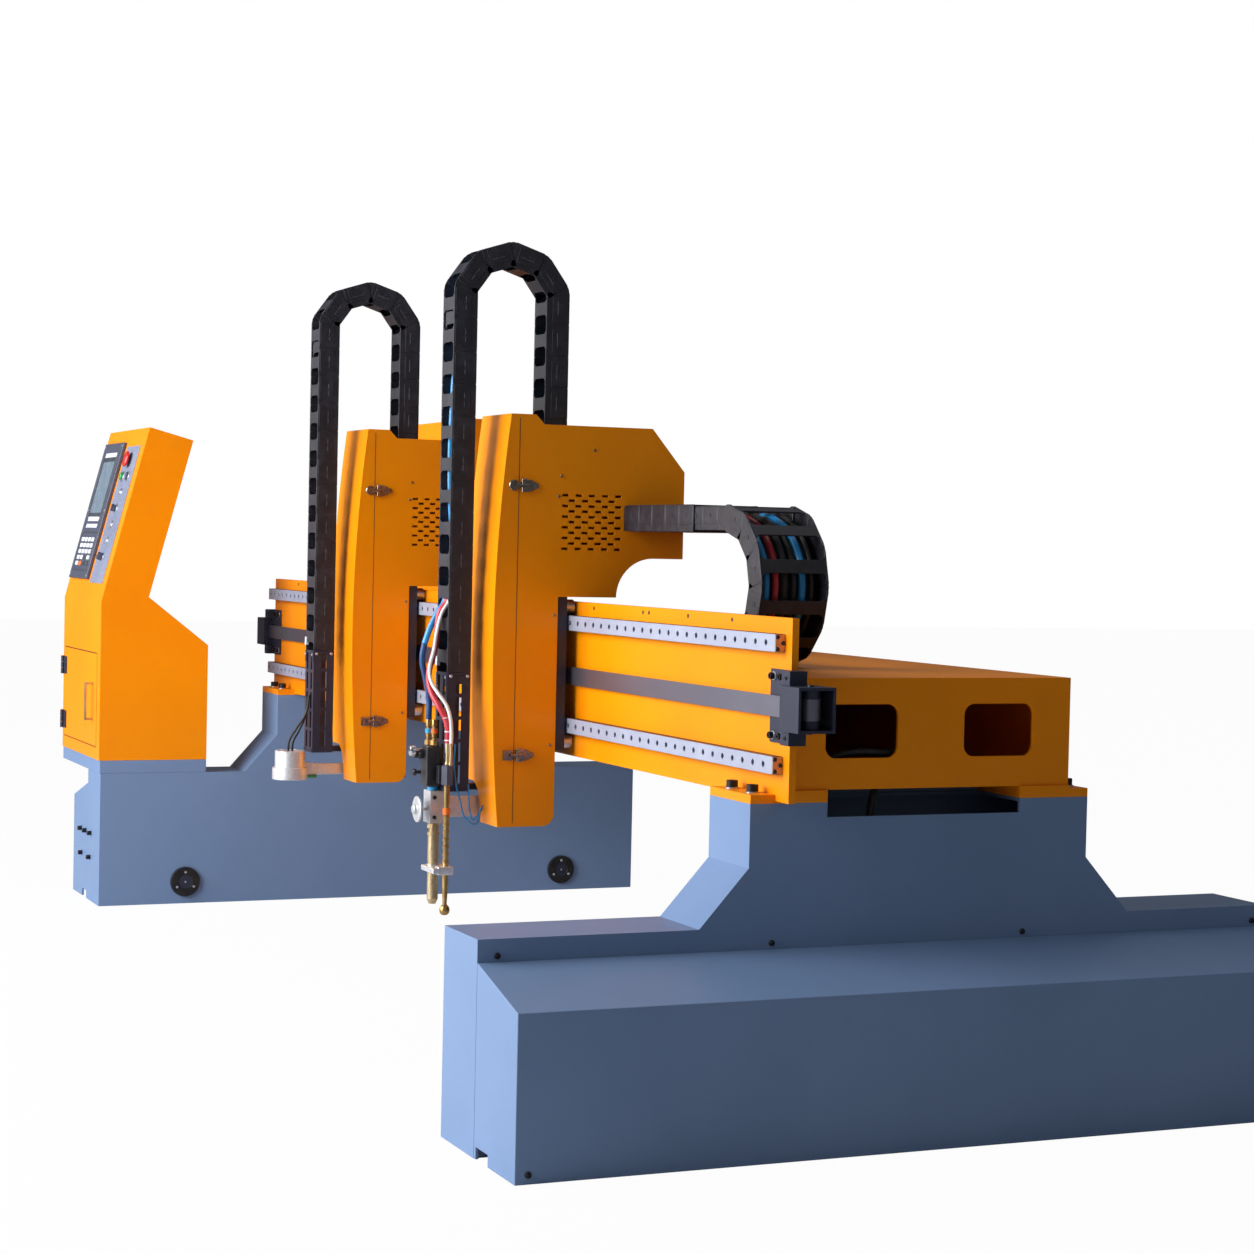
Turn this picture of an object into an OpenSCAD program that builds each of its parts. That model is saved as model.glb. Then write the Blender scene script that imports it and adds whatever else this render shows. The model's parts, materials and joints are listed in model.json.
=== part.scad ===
// Gantry CNC cutting machine: two end carriages, a cross beam with two torch heads, and a console.
// X runs along the beam, Y along the travel of the carriages, Z up. The work side faces -Y.
// Places are counted from the middle of the beam's front plate, and home() moves the whole
// machine so that the middle of its footprint lies on the origin.

/* [Carriages] */
// Clear distance between the two carriages
inner_gap = 3476; // [3200:4:3800]
// Width of each welded carriage box
box_w = 200; // [180:1:230]
// Width of the sloped side cover
cover_w = 234; // [210:1:280]
// Length of a carriage
carriage_len = 1943; // [1900:1:2300]
// Reach of a carriage in front of the beam's front plate
front_reach = 664; // [640:1:720]
// Height of the carriage ledge
ledge_z = 445; // [430:1:460]
// Wall of the carriage
wall = 8; // [6:0.5:12]
// Sheet of the side cover
cover_t = 4; // [2:0.5:6]
// Top of the side cover where it meets the box
slope_top = 398; // [380:1:415]
// Top of the side cover at its outer edge
slope_bottom = 336; // [310:1:360]
// Foot of the pedestal in front of the plate
foot_front = 171; // [140:1:200]
// Foot of the pedestal behind the plate
foot_rear = 897; // [870:1:930]
// Height at which the pedestal's sides turn upright
kink_z = 571; // [540:1:600]
// Top of the pedestal in front of the plate
top_front = 58; // [54:1:70]
// Top of the pedestal behind the plate
top_rear = 783; // [775:1:810]
// Height of the pedestal
top_z = 707; // [700:1:712]

/* [Rolling gear] */
// Distance of the rail's middle from the carriage's inner face
rail_offset = 246; // [238:1:260]
// Height of the wheel axles
axle_z = 74; // [70:1:80]
// Radius of a wheel's tread
wheel_r = 60; // [54:1:62]
// Radius of an axle
axle_r = 20; // [16:0.5:24]
// Front axle in front of the plate
front_axle = 372; // [340:1:400]
// Rear axle behind the plate
rear_axle = 1001; // [960:1:1040]
// Teeth of the drive pinion
pinion_teeth = 20; // [16:1:22]
// Tooth module of the drive pinion
pinion_module = 4; // [3:0.25:4]

/* [Beam] */
// Overhang of the front plate past each carriage box
plate_overhang = 62; // [50:1:80]
// Thickness of the front plate
plate_t = 16; // [12:1:20]
// Lower edge of the front plate
plate_bottom = 712; // [709:1:716]
// Height of the front plate
plate_h = 390; // [380:1:400]
// Depth of the box beam
beam_depth = 720; // [700:1:735]
// Height of the box beam
beam_h = 240; // [220:1:260]
// Wall of the box beam
beam_wall = 8; // [6:0.5:10]
// Thickness of the beam's foot flange
flange_t = 19; // [16:0.5:22]
// Pad between flange and beam
pad_t = 7; // [4:0.5:12]
// Width of an end window
window_w = 176; // [150:1:190]
// Height of an end window
window_h = 116; // [100:1:130]

/* [Rails and band] */
// Width of a guide rail
rail_w = 37; // [32:1:40]
// Depth of a guide rail
rail_d = 24; // [22:0.5:25]
// Upper rail below the plate's top edge
upper_inset = 35; // [32:1:40]
// Lower rail above the plate's lower edge
lower_inset = 60; // [52:1:66]
// Pitch of the rail screws
hole_pitch = 50; // [40:5:100]
// Width of the steel band
band_w = 45; // [35:1:50]
// Thickness of the steel band
band_t = 1; // [0.8:0.1:1.5]
// Radius of the band roller
roller_r = 20.5; // [19:0.5:22]

/* [Heads] */
// Middle of the near head along the beam
near_head_x = 718; // [640:1:800]
// Middle of the far head along the beam
far_head_x = -454; // [-520:1:-400]
// Width of a head
head_w = 210; // [200:1:220]
// Sheet of the head's housing
sheet = 3; // [2:0.5:4]
// Radius of the front cover's bulge
bulge_r = 4700; // [4400:50:5200]
// Travel of the torch lift
lift_travel = 180; // [150:1:200]
// Travel of a head to each side
cross_travel = 375; // [350:1:400]
// Radius of the lift screw
screw_r = 10; // [8:0.5:12]

/* [Cable chains] */
// Length of one chain link
pitch = 80; // [76:1:82]
// Width of a lift chain
lift_chain_w = 84; // [78:1:86]
// Height of a lift chain's link
lift_chain_h = 62; // [58:1:64]
// Width of the cross chain
cross_chain_w = 172; // [150:1:175]
// Height of the cross chain's link
cross_chain_h = 66; // [60:1:68]

/* [Torch] */
// Radius of the torch barrel
barrel_r = 14; // [10:0.5:15]
// Length of the torch barrel below its clamp
barrel_len = 205; // [180:1:220]
// Radius of the magnetic holder
magnet_r = 51; // [46:1:56]

/* [Console] */
// Width of the console
console_w = 628; // [600:1:660]
// Reach of the console in front of the plate
console_front = 670; // [664:1:680]
// Reach of the console's rear in front of the plate
console_rear = 305; // [290:1:320]
// Underside of the cabinet
cabinet_z = 489; // [480:1:500]
// Height of the kink below the operator panel
panel_z = 1021; // [1010:1:1030]
// Backward lean of the operator panel
panel_tilt = 14.8; // [12:0.1:18]
// Length of the operator panel up its slope
panel_len = 607; // [595:1:640]
// Depth of the console's upper box
panel_box_d = 153; // [140:1:170]
// Sheet of the console
console_sheet = 3; // [2:0.5:4]
// Width of the door
door_w = 550; // [520:1:560]
// Height of the door
door_h = 314; // [300:1:330]

/* [Hidden] */
$fn = 48;

// Clearances: between sheets, of a running shaft, and of a shaft held in a wall
gap = 0.3;
run = 0.05;
seat = 0.1;
// Length by which a cut runs past the face that it opens
cut = 1;

// Carriage faces along X and Y
inner_x = inner_gap / 2;
box_x = inner_x + box_w;
cover_x = box_x + cover_w;
front_y = -front_reach;
rear_y = carriage_len - front_reach;
rail_x = inner_x + rail_offset;
slope = (slope_top - slope_bottom) / cover_w;
skin_drop = cover_t * sqrt(1 + slope * slope);
// Notch of the end plates over the floor rail
notch_w = 70;
notch_h = 25;
// Opening in the pedestal's top between the two feet of the beam
well_y0 = 126;
well_y1 = 606;
well_depth = 32;

// Beam
plate_half = box_x + plate_overhang;
plate_top = plate_bottom + plate_h;
plate_holes = [921, 1223, 1258, 1478, 1709];
flange_top = top_z + flange_t;
beam_bottom = flange_top + pad_t;
beam_top = beam_bottom + beam_h;
beam_half = box_x - wall;
beam_rear = plate_t + beam_depth;
window_y = [plate_t + 106, plate_t + 448];
window_z = beam_bottom + 67;
corner_r = 25;

// Bolts of the feet
bolt_r = 8;
bolt_x = [inner_x + 50, inner_x + 150];
bolt_front_y = -29;
bolt_rear_y = beam_rear + (top_rear - beam_rear) / 2;
bolt_head_r = 13;
bolt_head_h = 15;
washer_t = 3;

// Rails
rail_end_gap = 32;
upper_rail_z = plate_top - upper_inset - rail_w;
lower_rail_z = plate_bottom + lower_inset;
rail_hole_r = 4;
rail_sink_r = 6.5;

// Band and its tensioners
band_z = 915;
band_y = plate_t / 2;
band_in = roller_r + gap;
band_out = band_in + band_t;
tube_x = plate_half + 18;
tube_w = 87;
tube_h = 95;
tube_t = 6;
tube_y0 = band_y - tube_w / 2;
roller_x = tube_x + 54;
journal_r = 6;
base_x = plate_half - 86;
base_t = 5;
lug_h = 30.5;
lug_x1 = plate_half + 42;
lug_y0 = -25;
tensioner_bolts = [base_x + 16, base_x + 58];
lug_x0 = plate_half + 4;

// Step of the screws along a side cover's top
cover_step = (carriage_len - 80) / 3;

// Rolling gear
wheel_w = 50;
flange_r = wheel_r + 10;
cap_r = 50;
cap_t = 10;
drive_y = 450;
pinion_z = 60;
pinion_w = 30;
pinion_r = pinion_module * pinion_teeth / 2;
shaft_r = 12;

// Heads: places across the head, counted from its middle, and heights
half_w = head_w / 2;
seam_y = -168;
head_top = 1568;
roof_z = 1544;
head_bottom = 538;
shoulder_z = 1214;
floor_z = plate_top + 12;
head_back = 284;
foot_r = 30;
back_y = -57;
arch_r = 100;
arch_y = 201;
bulge_y = -228.5;
bulge_z = 977;
plate_back = -31;
plate_front = -56;
spine_z1 = 1380;
guide_x = 40;
guide_w = 16;
guide_y = -68;
screw_y = -112;
bearing_left = 22;
guide_roller_r = 20;
guide_roller_x = 70;

// Lift parts
lift_z0 = 760;
lift_z1 = 900;
bracket_z0 = 622;
leg_z0 = 920;
bracket_t = 3;
slot_w = 16;
slot_h = 48;
slot_step = 57;
slot_low = 14;
chain_x = -5;
chain_front_y = -292;
chain_back_y = -45;
bracket_y0 = chain_front_y - lift_chain_h / 2;

// A chain's side plate and cross bar
side_t = 5;
bar_t = 4;
nest = 0.5;
leg_links = 12;
leg_top = leg_z0 + leg_links * pitch;
lift_tail = lift_travel / 2 + 25;
back_links = 5;

// Cross chain: the run starts at the near head's side and returns on the beam
cross_y = 117;
cross_start = near_head_x + half_w + 17;
upper_links = 5;
lower_links = 12;
cross_end = cross_start + upper_links * pitch;
cross_bend_x = cross_end + cross_travel / 2 + 0.5;
cross_tail = cross_travel + 15;
cross_low_z = beam_top + cross_chain_h / 2;
cross_half = pitch * (cos(15) + cos(45) + cos(75));
cross_mid_z = cross_low_z + cross_half;

// Torch
torch_x = near_head_x - 13;
torch_y = -334;
clamp_z0 = 541;
clamp_z1 = 622;
clamp_front = torch_y - 19;
clamp_back = torch_y + 20;
knob_z = clamp_z0 + 34;
knob_r = 33;
igniter_x = torch_x + 63;
igniter_y = -323;
igniter_r = 8;
igniter_tip = 328;
neck_r = 10;
bar_z = 420;
bar_h = 14;
nut_z0 = 640;
nut_z1 = 690;
nipple_z = 800;
hose_end_z = 745;
arm_z0 = 552;
arm_z1 = 604;
hose_r = 7;
valve_y0 = -403;
valve_z1 = 736;
magnet_x = far_head_x - 5;
magnet_y = -377;
magnet_z0 = 542;
magnet_z1 = 626;
socket_r = 25.2;
socket_depth = 56;

// Console
console_x = -inner_x - console_w;
kink_y = -console_front;
slope_y = panel_len * sin(panel_tilt);
slope_z = panel_len * cos(panel_tilt);
box_y = panel_box_d * cos(panel_tilt);
box_z = panel_box_d * sin(panel_tilt);
rear_kink_z = panel_z + 17;
shoulder_top = 877;
door_x = console_x + 26;
door_z = cabinet_z + 42;
door_gap = 1.5;
hinge_r = 6;
pin_r = 3;
hinge_x = door_x - 12;
hinge_y = kink_y - hinge_r;
hinge_z = [door_z + 25, door_z + 217];
hinge_h = 64;
handle_reach = 28;
strip_x0 = -inner_x - 262;
strip_x1 = -inner_x - 62;
strip_s0 = 60;
strip_s1 = 545;
strip_t = 3;
strip_mid = (strip_x0 + strip_x1) / 2;
controller_w = 300;
controller_h = 490;
controller_s = 70;
controller_t = 14;
stop_s = 495;
key_s = 437;
start_x = strip_mid - 40;
halt_x = strip_mid + 40;
lamp_s = [380, 266, 209];
selector_s = 323;
speed_s = 152;
stem_r = 6;

// Control box on the beam
control_x0 = -1450;
control_x1 = -817;
control_y0 = 300;
control_y1 = 550;
control_z1 = 1635;
control_sheet = 3;
control_holes_x = [control_x0 + 120, control_x0 + 240];
cable_hole_r = 24;
cable_hole_y = control_y0 + 70;

// Middle of the footprint
screw_head = 6;
left_x = console_x;
right_x = cover_x + screw_head;
near_y = -console_front - handle_reach;
mid_x = (left_x + right_x) / 2;
mid_y = (near_y + rear_y) / 2;

// Routes of the hoses and cables, chosen by hand
blue_route = [
    [698, -311.8, 1115], [698, -312, 1100], [698, -330.5, 1070], [697, -350, 1030], [696, -364, 990],
    [695, -369, 950], [696, -360, 905], [698, -351, 860], [699, -350, 800]
];
red_route = [
    [713, -311.8, 1115], [713, -312, 1100], [713, -330.5, 1070], [713, -338, 1018], [713, -343, 976],
    [713, -356, 924], [716, -357, 892], [732, -352, 862], [750, -343, 838], [762, -331, 812],
    [766, -323, 785], [766, -322, 745]
];
white_route = [
    [728, -313.3, 1115], [728, -313.5, 1100], [728, -330, 1070], [728, -344, 1018], [728, -350, 976],
    [729, -361, 924], [738, -358, 895], [754, -345, 868], [769, -330, 842], [779, -321, 808],
    [780, -318, 775], [780, -318, 745]
];
window_cable = [
    [1500, 200, 749.3], [1640, 195, 749.3], [1710, 183, 751], [1780, 165, 757], [1870, 150, 790],
    [1895, 200, 808], [1900, 300, 808], [1900, 400, 812], [1898, 480, 828]
];
second_cable = [
    [1500, 240, 747.3], [1660, 235, 747.3], [1730, 224, 749], [1800, 205, 755], [1885, 205, 782],
    [1905, 280, 790], [1908, 380, 796], [1906, 455, 806]
];
well_cable = [
    [1500, 420, 749.3], [1640, 400, 749.3], [1780, 330, 749.5], [1815, 308, 749.5], [1852, 288, 736],
    [1868, 270, 690], [1868, 262, 600], [1868, 260, 500]
];
wire_a = [
    [-444, -326.7, 790], [-446, -335, 735], [-450, -362, 690], [-452, -382, 655], [-454, -384, 626.2]
];
wire_b = [
    [-464, -326.7, 780], [-466, -333, 722], [-464, -352, 680], [-462, -368, 650], [-461, -370, 626.2]
];

// Geometry helpers
module home() {
    translate([-mid_x, -mid_y, 0]) children();
}

module both_sides() {
    children();
    mirror([1, 0, 0]) children();
}

module slab(x0, x1, y0, y1, z0, z1) {
    translate([x0, y0, z0]) cube([x1 - x0, y1 - y0, z1 - z0]);
}

// A profile drawn in Y and Z, run along X
module along_x(x0, x1) {
    translate([x0, 0, 0]) rotate([90, 0, 90]) linear_extrude(x1 - x0) children();
}

// A profile drawn in X and Z, run along Y
module along_y(y0, y1) {
    translate([0, y1, 0]) rotate([90, 0, 0]) linear_extrude(y1 - y0) children();
}

module rod_x(r, x0, x1, y, z) {
    translate([x0, y, z]) rotate([0, 90, 0]) cylinder(r = r, h = x1 - x0);
}

module rod_y(r, y0, y1, x, z) {
    translate([x, y0, z]) rotate([-90, 0, 0]) cylinder(r = r, h = y1 - y0);
}

module rod_z(r, z0, z1, x, y) {
    translate([x, y, z0]) cylinder(r = r, h = z1 - z0);
}

// A rectangle with round corners, its lower left corner at the origin
module round_rect(w, h, r) {
    translate([r, 0]) square([w - 2 * r, h]);
    translate([0, r]) square([w, h - 2 * r]);
    for (x = [r, w - r], y = [r, h - r]) translate([x, y]) circle(r);
}

// A round tube along a smooth route through the given points
function spline_point(a, b, c, d, t) =
    0.5 * (2 * b + (c - a) * t + (2 * a - 5 * b + 4 * c - d) * t * t + (3 * b - a - 3 * c + d) * t * t * t);

function smooth_route(p, steps) = [
    for (i = [0:len(p) - 2], k = [0:steps - 1])
        spline_point(p[max(i - 1, 0)], p[i], p[i + 1], p[min(i + 2, len(p) - 1)], k / steps),
    p[len(p) - 1]
];

function unit(v) = v / norm(v);

module tube(points, r, aside, steps = 3, sides = 8) {
    route = smooth_route(points, steps);
    n = len(route);
    ring_points = [
        for (i = [0:n - 1])
            let (t = unit(route[min(i + 1, n - 1)] - route[max(i - 1, 0)]))
            let (u = unit(cross(t, aside)))
            let (v = cross(u, t))
            for (k = [0:sides - 1])
                route[i] + r * (cos(360 * k / sides) * u + sin(360 * k / sides) * v)
    ];
    side_faces = [
        for (i = [0:n - 2], k = [0:sides - 1])
            let (a = i * sides + k)
            let (b = i * sides + (k + 1) % sides)
            each [[a, b, b + sides], [a, b + sides, a + sides]]
    ];
    first_cap = [for (k = [1:sides - 2]) [0, k + 1, k]];
    last = (n - 1) * sides;
    last_cap = [for (k = [1:sides - 2]) [last, last + k, last + k + 1]];
    polyhedron(points = ring_points, faces = concat(side_faces, first_cap, last_cap));
}

// Colours
module blue_paint() { color([0.40, 0.47, 0.58]) children(); }
module orange_paint() { color([0.96, 0.56, 0.07]) children(); }
module dark_steel() { color([0.20, 0.21, 0.25]) children(); }
module bright_steel() { color([0.75, 0.76, 0.78]) children(); }
module black_plastic() { color([0.08, 0.08, 0.10]) children(); }

// Carriages
module pedestal_outline(t) {
    front_run = t * sqrt(1 + pow((foot_front - top_front) / (kink_z - ledge_z), 2));
    rear_run = t * sqrt(1 + pow((foot_rear - top_rear) / (kink_z - ledge_z), 2));
    low = t > 0 ? ledge_z - wall - cut : ledge_z - wall;
    polygon([
        [-foot_front + front_run, low],
        [foot_rear - rear_run, low],
        [foot_rear - rear_run, ledge_z],
        [top_rear - t, kink_z],
        [top_rear - t, top_z - t],
        [-top_front + t, top_z - t],
        [-top_front + t, kink_z],
        [-foot_front + front_run, ledge_z]
    ]);
}

module carriage_body() {
    difference() {
        union() {
            slab(inner_x, box_x, front_y, rear_y, 0, ledge_z);
            along_x(inner_x, box_x) pedestal_outline(0);
        }
        slab(inner_x + wall, box_x - wall, front_y + wall, rear_y - wall, -cut, ledge_z - wall);
        along_x(inner_x + wall, box_x - wall) pedestal_outline(wall);
        slab(inner_x + 30, box_x + cut, well_y0, well_y1, top_z - well_depth, top_z + cut);
        for (y = [-front_axle, rear_axle]) rod_x(axle_r + seat, inner_x - cut, box_x + cut, y, axle_z);
        rod_x(shaft_r + 2, box_x - wall - cut, box_x + cut, drive_y, pinion_z);
        for (x = bolt_x, y = [bolt_front_y, bolt_rear_y]) {
            rod_z(bolt_r + seat, top_z - wall - cut, top_z + cut, x, y);
        }
    }
}

module near_carriage() {
    blue_paint() home() carriage_body();
}

module far_carriage() {
    blue_paint() home() mirror([1, 0, 0]) carriage_body();
}

// A side cover has closed ends with a notch over the floor rail
module side_covers() {
    blue_paint() home() both_sides() difference() {
        along_y(front_y, rear_y) polygon([
            [box_x, 0],
            [box_x, slope_top],
            [cover_x, slope_bottom],
            [cover_x, 0]
        ]);
        along_y(front_y + wall, rear_y - wall) polygon([
            [box_x - cut, -cut],
            [box_x - cut, slope_top - skin_drop + slope * cut],
            [cover_x - cover_t, slope_bottom + slope * cover_t - skin_drop],
            [cover_x - cover_t, -cut]
        ]);
        slab(rail_x - notch_w / 2, rail_x + notch_w / 2, front_y - cut, rear_y + cut, -cut, notch_h);
    }
}

// Rolling gear
module axle(y) {
    rod_x(axle_r, inner_x - cap_t, rail_x + wheel_w / 2 + 12, y, axle_z);
    rod_x(cap_r, inner_x - cap_t, inner_x, y, axle_z);
    rod_x(axle_r + 8, box_x, rail_x - wheel_w / 2 - gap, y, axle_z);
    rod_x(axle_r + 8, rail_x + wheel_w / 2 + gap, rail_x + wheel_w / 2 + 12, y, axle_z);
}

module axles_and_motors() {
    dark_steel() home() both_sides() {
        for (y = [-front_axle, rear_axle]) axle(y);
        drive_motor();
    }
}

module wheel(y) {
    translate([rail_x - wheel_w / 2, y, axle_z]) rotate([0, 90, 0]) difference() {
        union() {
            cylinder(r = wheel_r, h = wheel_w);
            cylinder(r = flange_r, h = 10);
        }
        translate([0, 0, -cut]) cylinder(r = axle_r + run, h = wheel_w + 2 * cut);
        translate([0, 0, wheel_w - 8]) difference() {
            cylinder(r = wheel_r - 9, h = 8 + cut);
            translate([0, 0, -cut]) cylinder(r = axle_r + 12, h = 10 + 2 * cut);
        }
    }
}

module front_wheels() {
    bright_steel() home() both_sides() wheel(-front_axle);
}

module rear_wheels() {
    bright_steel() home() both_sides() wheel(rear_axle);
}

module drive_motor() {
    face = box_x - wall;
    difference() {
        union() {
            slab(face - 12, face, drive_y - 55, drive_y + 55, pinion_z - 48, pinion_z + 62);
            rod_x(42, face - 60, face - 12, drive_y, pinion_z);
            slab(face - 165, face - 60, drive_y - 40, drive_y + 40, pinion_z - 40, pinion_z + 40);
        }
        rod_x(shaft_r + run, face - 45, face + cut, drive_y, pinion_z);
    }
}

module pinion_outline() {
    root_r = pinion_r - 1.25 * pinion_module;
    tip_r = pinion_r + pinion_module;
    step = 360 / pinion_teeth;
    polygon([
        for (i = [0:pinion_teeth - 1])
            each [
                root_r * [cos(step * (i - 0.30)), sin(step * (i - 0.30))],
                tip_r * [cos(step * (i - 0.14)), sin(step * (i - 0.14))],
                tip_r * [cos(step * (i + 0.14)), sin(step * (i + 0.14))],
                root_r * [cos(step * (i + 0.30)), sin(step * (i + 0.30))]
            ]
    ]);
}

module drive_pinions() {
    bright_steel() home() both_sides() {
        rod_x(shaft_r, box_x - wall - 40, rail_x + pinion_w / 2, drive_y, pinion_z);
        along_x(rail_x - pinion_w / 2, rail_x + pinion_w / 2) translate([drive_y, pinion_z]) pinion_outline();
    }
}

// Beam
module rail_plate() {
    orange_paint() home() difference() {
        slab(-plate_half, plate_half, 0, plate_t, plate_bottom, plate_top);
        both_sides() slab(inner_x - gap, box_x + gap, -cut, plate_t + cut, plate_bottom - cut, flange_top);
        both_sides() for (x = plate_holes) rod_y(3.5, -cut, plate_t + cut, x, plate_top - 13);
    }
}

module beam_window(y) {
    translate([y, window_z]) round_rect(window_w, window_h, corner_r);
}

module beam_foot() {
    slab(inner_x, box_x, -top_front, well_y0, top_z, flange_top);
    slab(inner_x, box_x, well_y1, top_rear, top_z, flange_top);
    slab(inner_x, box_x, plate_t, well_y0, flange_top, beam_bottom);
    slab(inner_x, box_x, well_y1, beam_rear, flange_top, beam_bottom);
}

module box_beam() {
    tube_end = beam_half - beam_wall;
    orange_paint() home() difference() {
        slab(-tube_end, tube_end, plate_t, beam_rear, beam_bottom, beam_top);
        slab(-beam_half, beam_half, plate_t + beam_wall, beam_rear - beam_wall, beam_bottom + beam_wall,
            beam_top - beam_wall);
        slab(inner_x + 60, box_x - 30, 180, 340, beam_bottom - cut, beam_bottom + beam_wall + cut);
        for (x = control_holes_x) {
            rod_z(cable_hole_r, beam_top - beam_wall - cut, beam_top + cut, x, cable_hole_y);
        }
    }
}

module beam_ends() {
    tube_end = beam_half - beam_wall;
    orange_paint() home() both_sides() difference() {
        union() {
            slab(tube_end, beam_half, plate_t, beam_rear, beam_bottom, beam_top);
            beam_foot();
        }
        along_x(tube_end - cut, beam_half + cut) for (y = window_y) beam_window(y);
        slab(tube_end - cut, beam_half + cut, plate_t + beam_wall, plate_t + beam_wall + 14,
            band_z - band_w / 2 - 4, band_z + band_w / 2 + 4);
        for (x = bolt_x, y = [bolt_front_y, bolt_rear_y]) {
            rod_z(bolt_r + seat, top_z - cut, flange_top + cut, x, y);
        }
    }
}

module hex_bolt(x, y) {
    rod_z(bolt_head_r + 3, flange_top, flange_top + washer_t, x, y);
    rod_z(bolt_r, top_z - wall - 14, flange_top + washer_t, x, y);
    translate([x, y, flange_top + washer_t]) cylinder(r = bolt_head_r, h = bolt_head_h, $fn = 6);
}

module cap_screw(x, z) {
    rod_y(8, -base_t - 2, -base_t, x, z);
    rod_y(5.5, -base_t - 12, -base_t, x, z);
}

module fasteners() {
    dark_steel() home() {
        both_sides() for (x = bolt_x, y = [bolt_front_y, bolt_rear_y]) hex_bolt(x, y);
        both_sides() for (x = tensioner_bolts, side = [-1, 1]) {
            cap_screw(x, band_z + side * (tube_h + lug_h) / 2);
        }
        both_sides() for (i = [0:3]) {
            rod_x(7, box_x, box_x + 6, front_y + 43 + cover_step * i, slope_top + 12);
        }
        both_sides() rod_x(7, cover_x, cover_x + screw_head, front_y + 28, 19);
        for (x = [99, 22, -62]) rod_y(8, front_y - 7, front_y, -box_x - x, 231);
        for (x = [84, -51]) rod_y(8, front_y - 7, front_y, -box_x - x, 148);
    }
}

module rail_outline() {
    difference() {
        translate([-rail_d, 0]) square([rail_d, rail_w]);
        for (z = [0, rail_w]) translate([-rail_d * 0.42, z]) circle(4);
    }
}

module guide_rail(z) {
    first = -plate_half + hole_pitch / 2;
    last = plate_half - rail_end_gap - hole_pitch / 4;
    difference() {
        along_x(-plate_half, plate_half - rail_end_gap) translate([0, z]) rail_outline();
        for (x = [first:hole_pitch:last]) {
            rod_y(rail_hole_r, -rail_d - cut, cut, x, z + rail_w / 2);
            rod_y(rail_sink_r, -rail_d - cut, -rail_d + 9, x, z + rail_w / 2);
        }
    }
}

module guide_rails() {
    color([0.83, 0.85, 0.90]) home() for (z = [lower_rail_z, upper_rail_z]) guide_rail(z);
}

module band_loop(r) {
    translate([-roller_x, -r]) square([2 * roller_x, 2 * r]);
    for (x = [-roller_x, roller_x]) translate([x, 0]) circle(r, $fn = 96);
}

module drive_band() {
    color([0.62, 0.64, 0.68]) home() translate([0, band_y, band_z - band_w / 2])
        linear_extrude(band_w) difference() {
            band_loop(band_out);
            band_loop(band_in);
        }
}

module tensioner() {
    z0 = band_z - tube_h / 2;
    z1 = band_z + tube_h / 2;
    difference() {
        union() {
            slab(base_x, plate_half, -base_t, 0, z0 - lug_h, z1 + lug_h);
            slab(plate_half, tube_x, -base_t, plate_t, z0 - lug_h, z1 + lug_h);
            slab(tube_x, tube_x + tube_w, tube_y0, tube_y0 + tube_w, z0, z1);
            for (z = [z0 - lug_h, z1]) slab(lug_x0, lug_x1, lug_y0, -base_t, z, z + lug_h);
            for (z = [z0 - lug_h, z1]) slab(tube_x, lug_x1, -base_t, plate_t, z, z + lug_h);
        }
        slab(tube_x + tube_t, tube_x + tube_w + cut, tube_y0 + tube_t, tube_y0 + tube_w - tube_t,
            z0 + tube_t, z1 - tube_t);
        slab(plate_half - cut, tube_x + tube_t + cut, band_y - band_out - 4, band_y + band_out + 4,
            band_z - band_w / 2 - 3, band_z + band_w / 2 + 3);
        rod_z(journal_r + run, z0 - cut, z1 + cut, roller_x, band_y);
    }
}

module tensioners() {
    dark_steel() home() both_sides() tensioner();
}

module band_roller(x) {
    z0 = band_z - tube_h / 2;
    z1 = band_z + tube_h / 2;
    rod_z(roller_r, z0 + tube_t + gap, z1 - tube_t - gap, x, band_y);
    rod_z(journal_r, z0 - 4, z1 + 4, x, band_y);
}

module right_band_roller() {
    bright_steel() home() band_roller(roller_x);
}

module left_band_roller() {
    bright_steel() home() band_roller(-roller_x);
}

module beam_cables() {
    black_plastic() home() {
        tube(window_cable, 8, [0, 0, 1]);
        tube(second_cable, 6, [0, 0, 1]);
        tube(well_cable, 8, [0, 1, 0]);
    }
}

// Cable chains. A run starts at the origin and goes along +X, with its width along Y.
module chain_run(length, w, h, links) {
    for (y = [-w / 2, w / 2 - side_t]) slab(0, length, y, y + side_t, -h / 2, h / 2);
    step = length / links;
    for (i = [0:links - 1], z = [-h / 2, h / 2 - bar_t]) {
        slab(step * (i + 0.28), step * (i + 0.72), -w / 2, w / 2, z, z + bar_t);
    }
}

// A bend's centre line: dirs holds the direction of the run before it, of each link and of the run
// after it, and lens the length of each link. Its side plates are mitred at every joint.
function bend_joint(dirs, lens, i) =
    i == 0 ? [0, 0] : bend_joint(dirs, lens, i - 1) + lens[i - 1] * [cos(dirs[i]), sin(dirs[i])];

function left_of(a) = [-sin(a), cos(a)];

function mitre(dirs, lens, i, reach) =
    bend_joint(dirs, lens, i)
        + reach / cos((dirs[i + 1] - dirs[i]) / 2) * left_of((dirs[i] + dirs[i + 1]) / 2);

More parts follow.
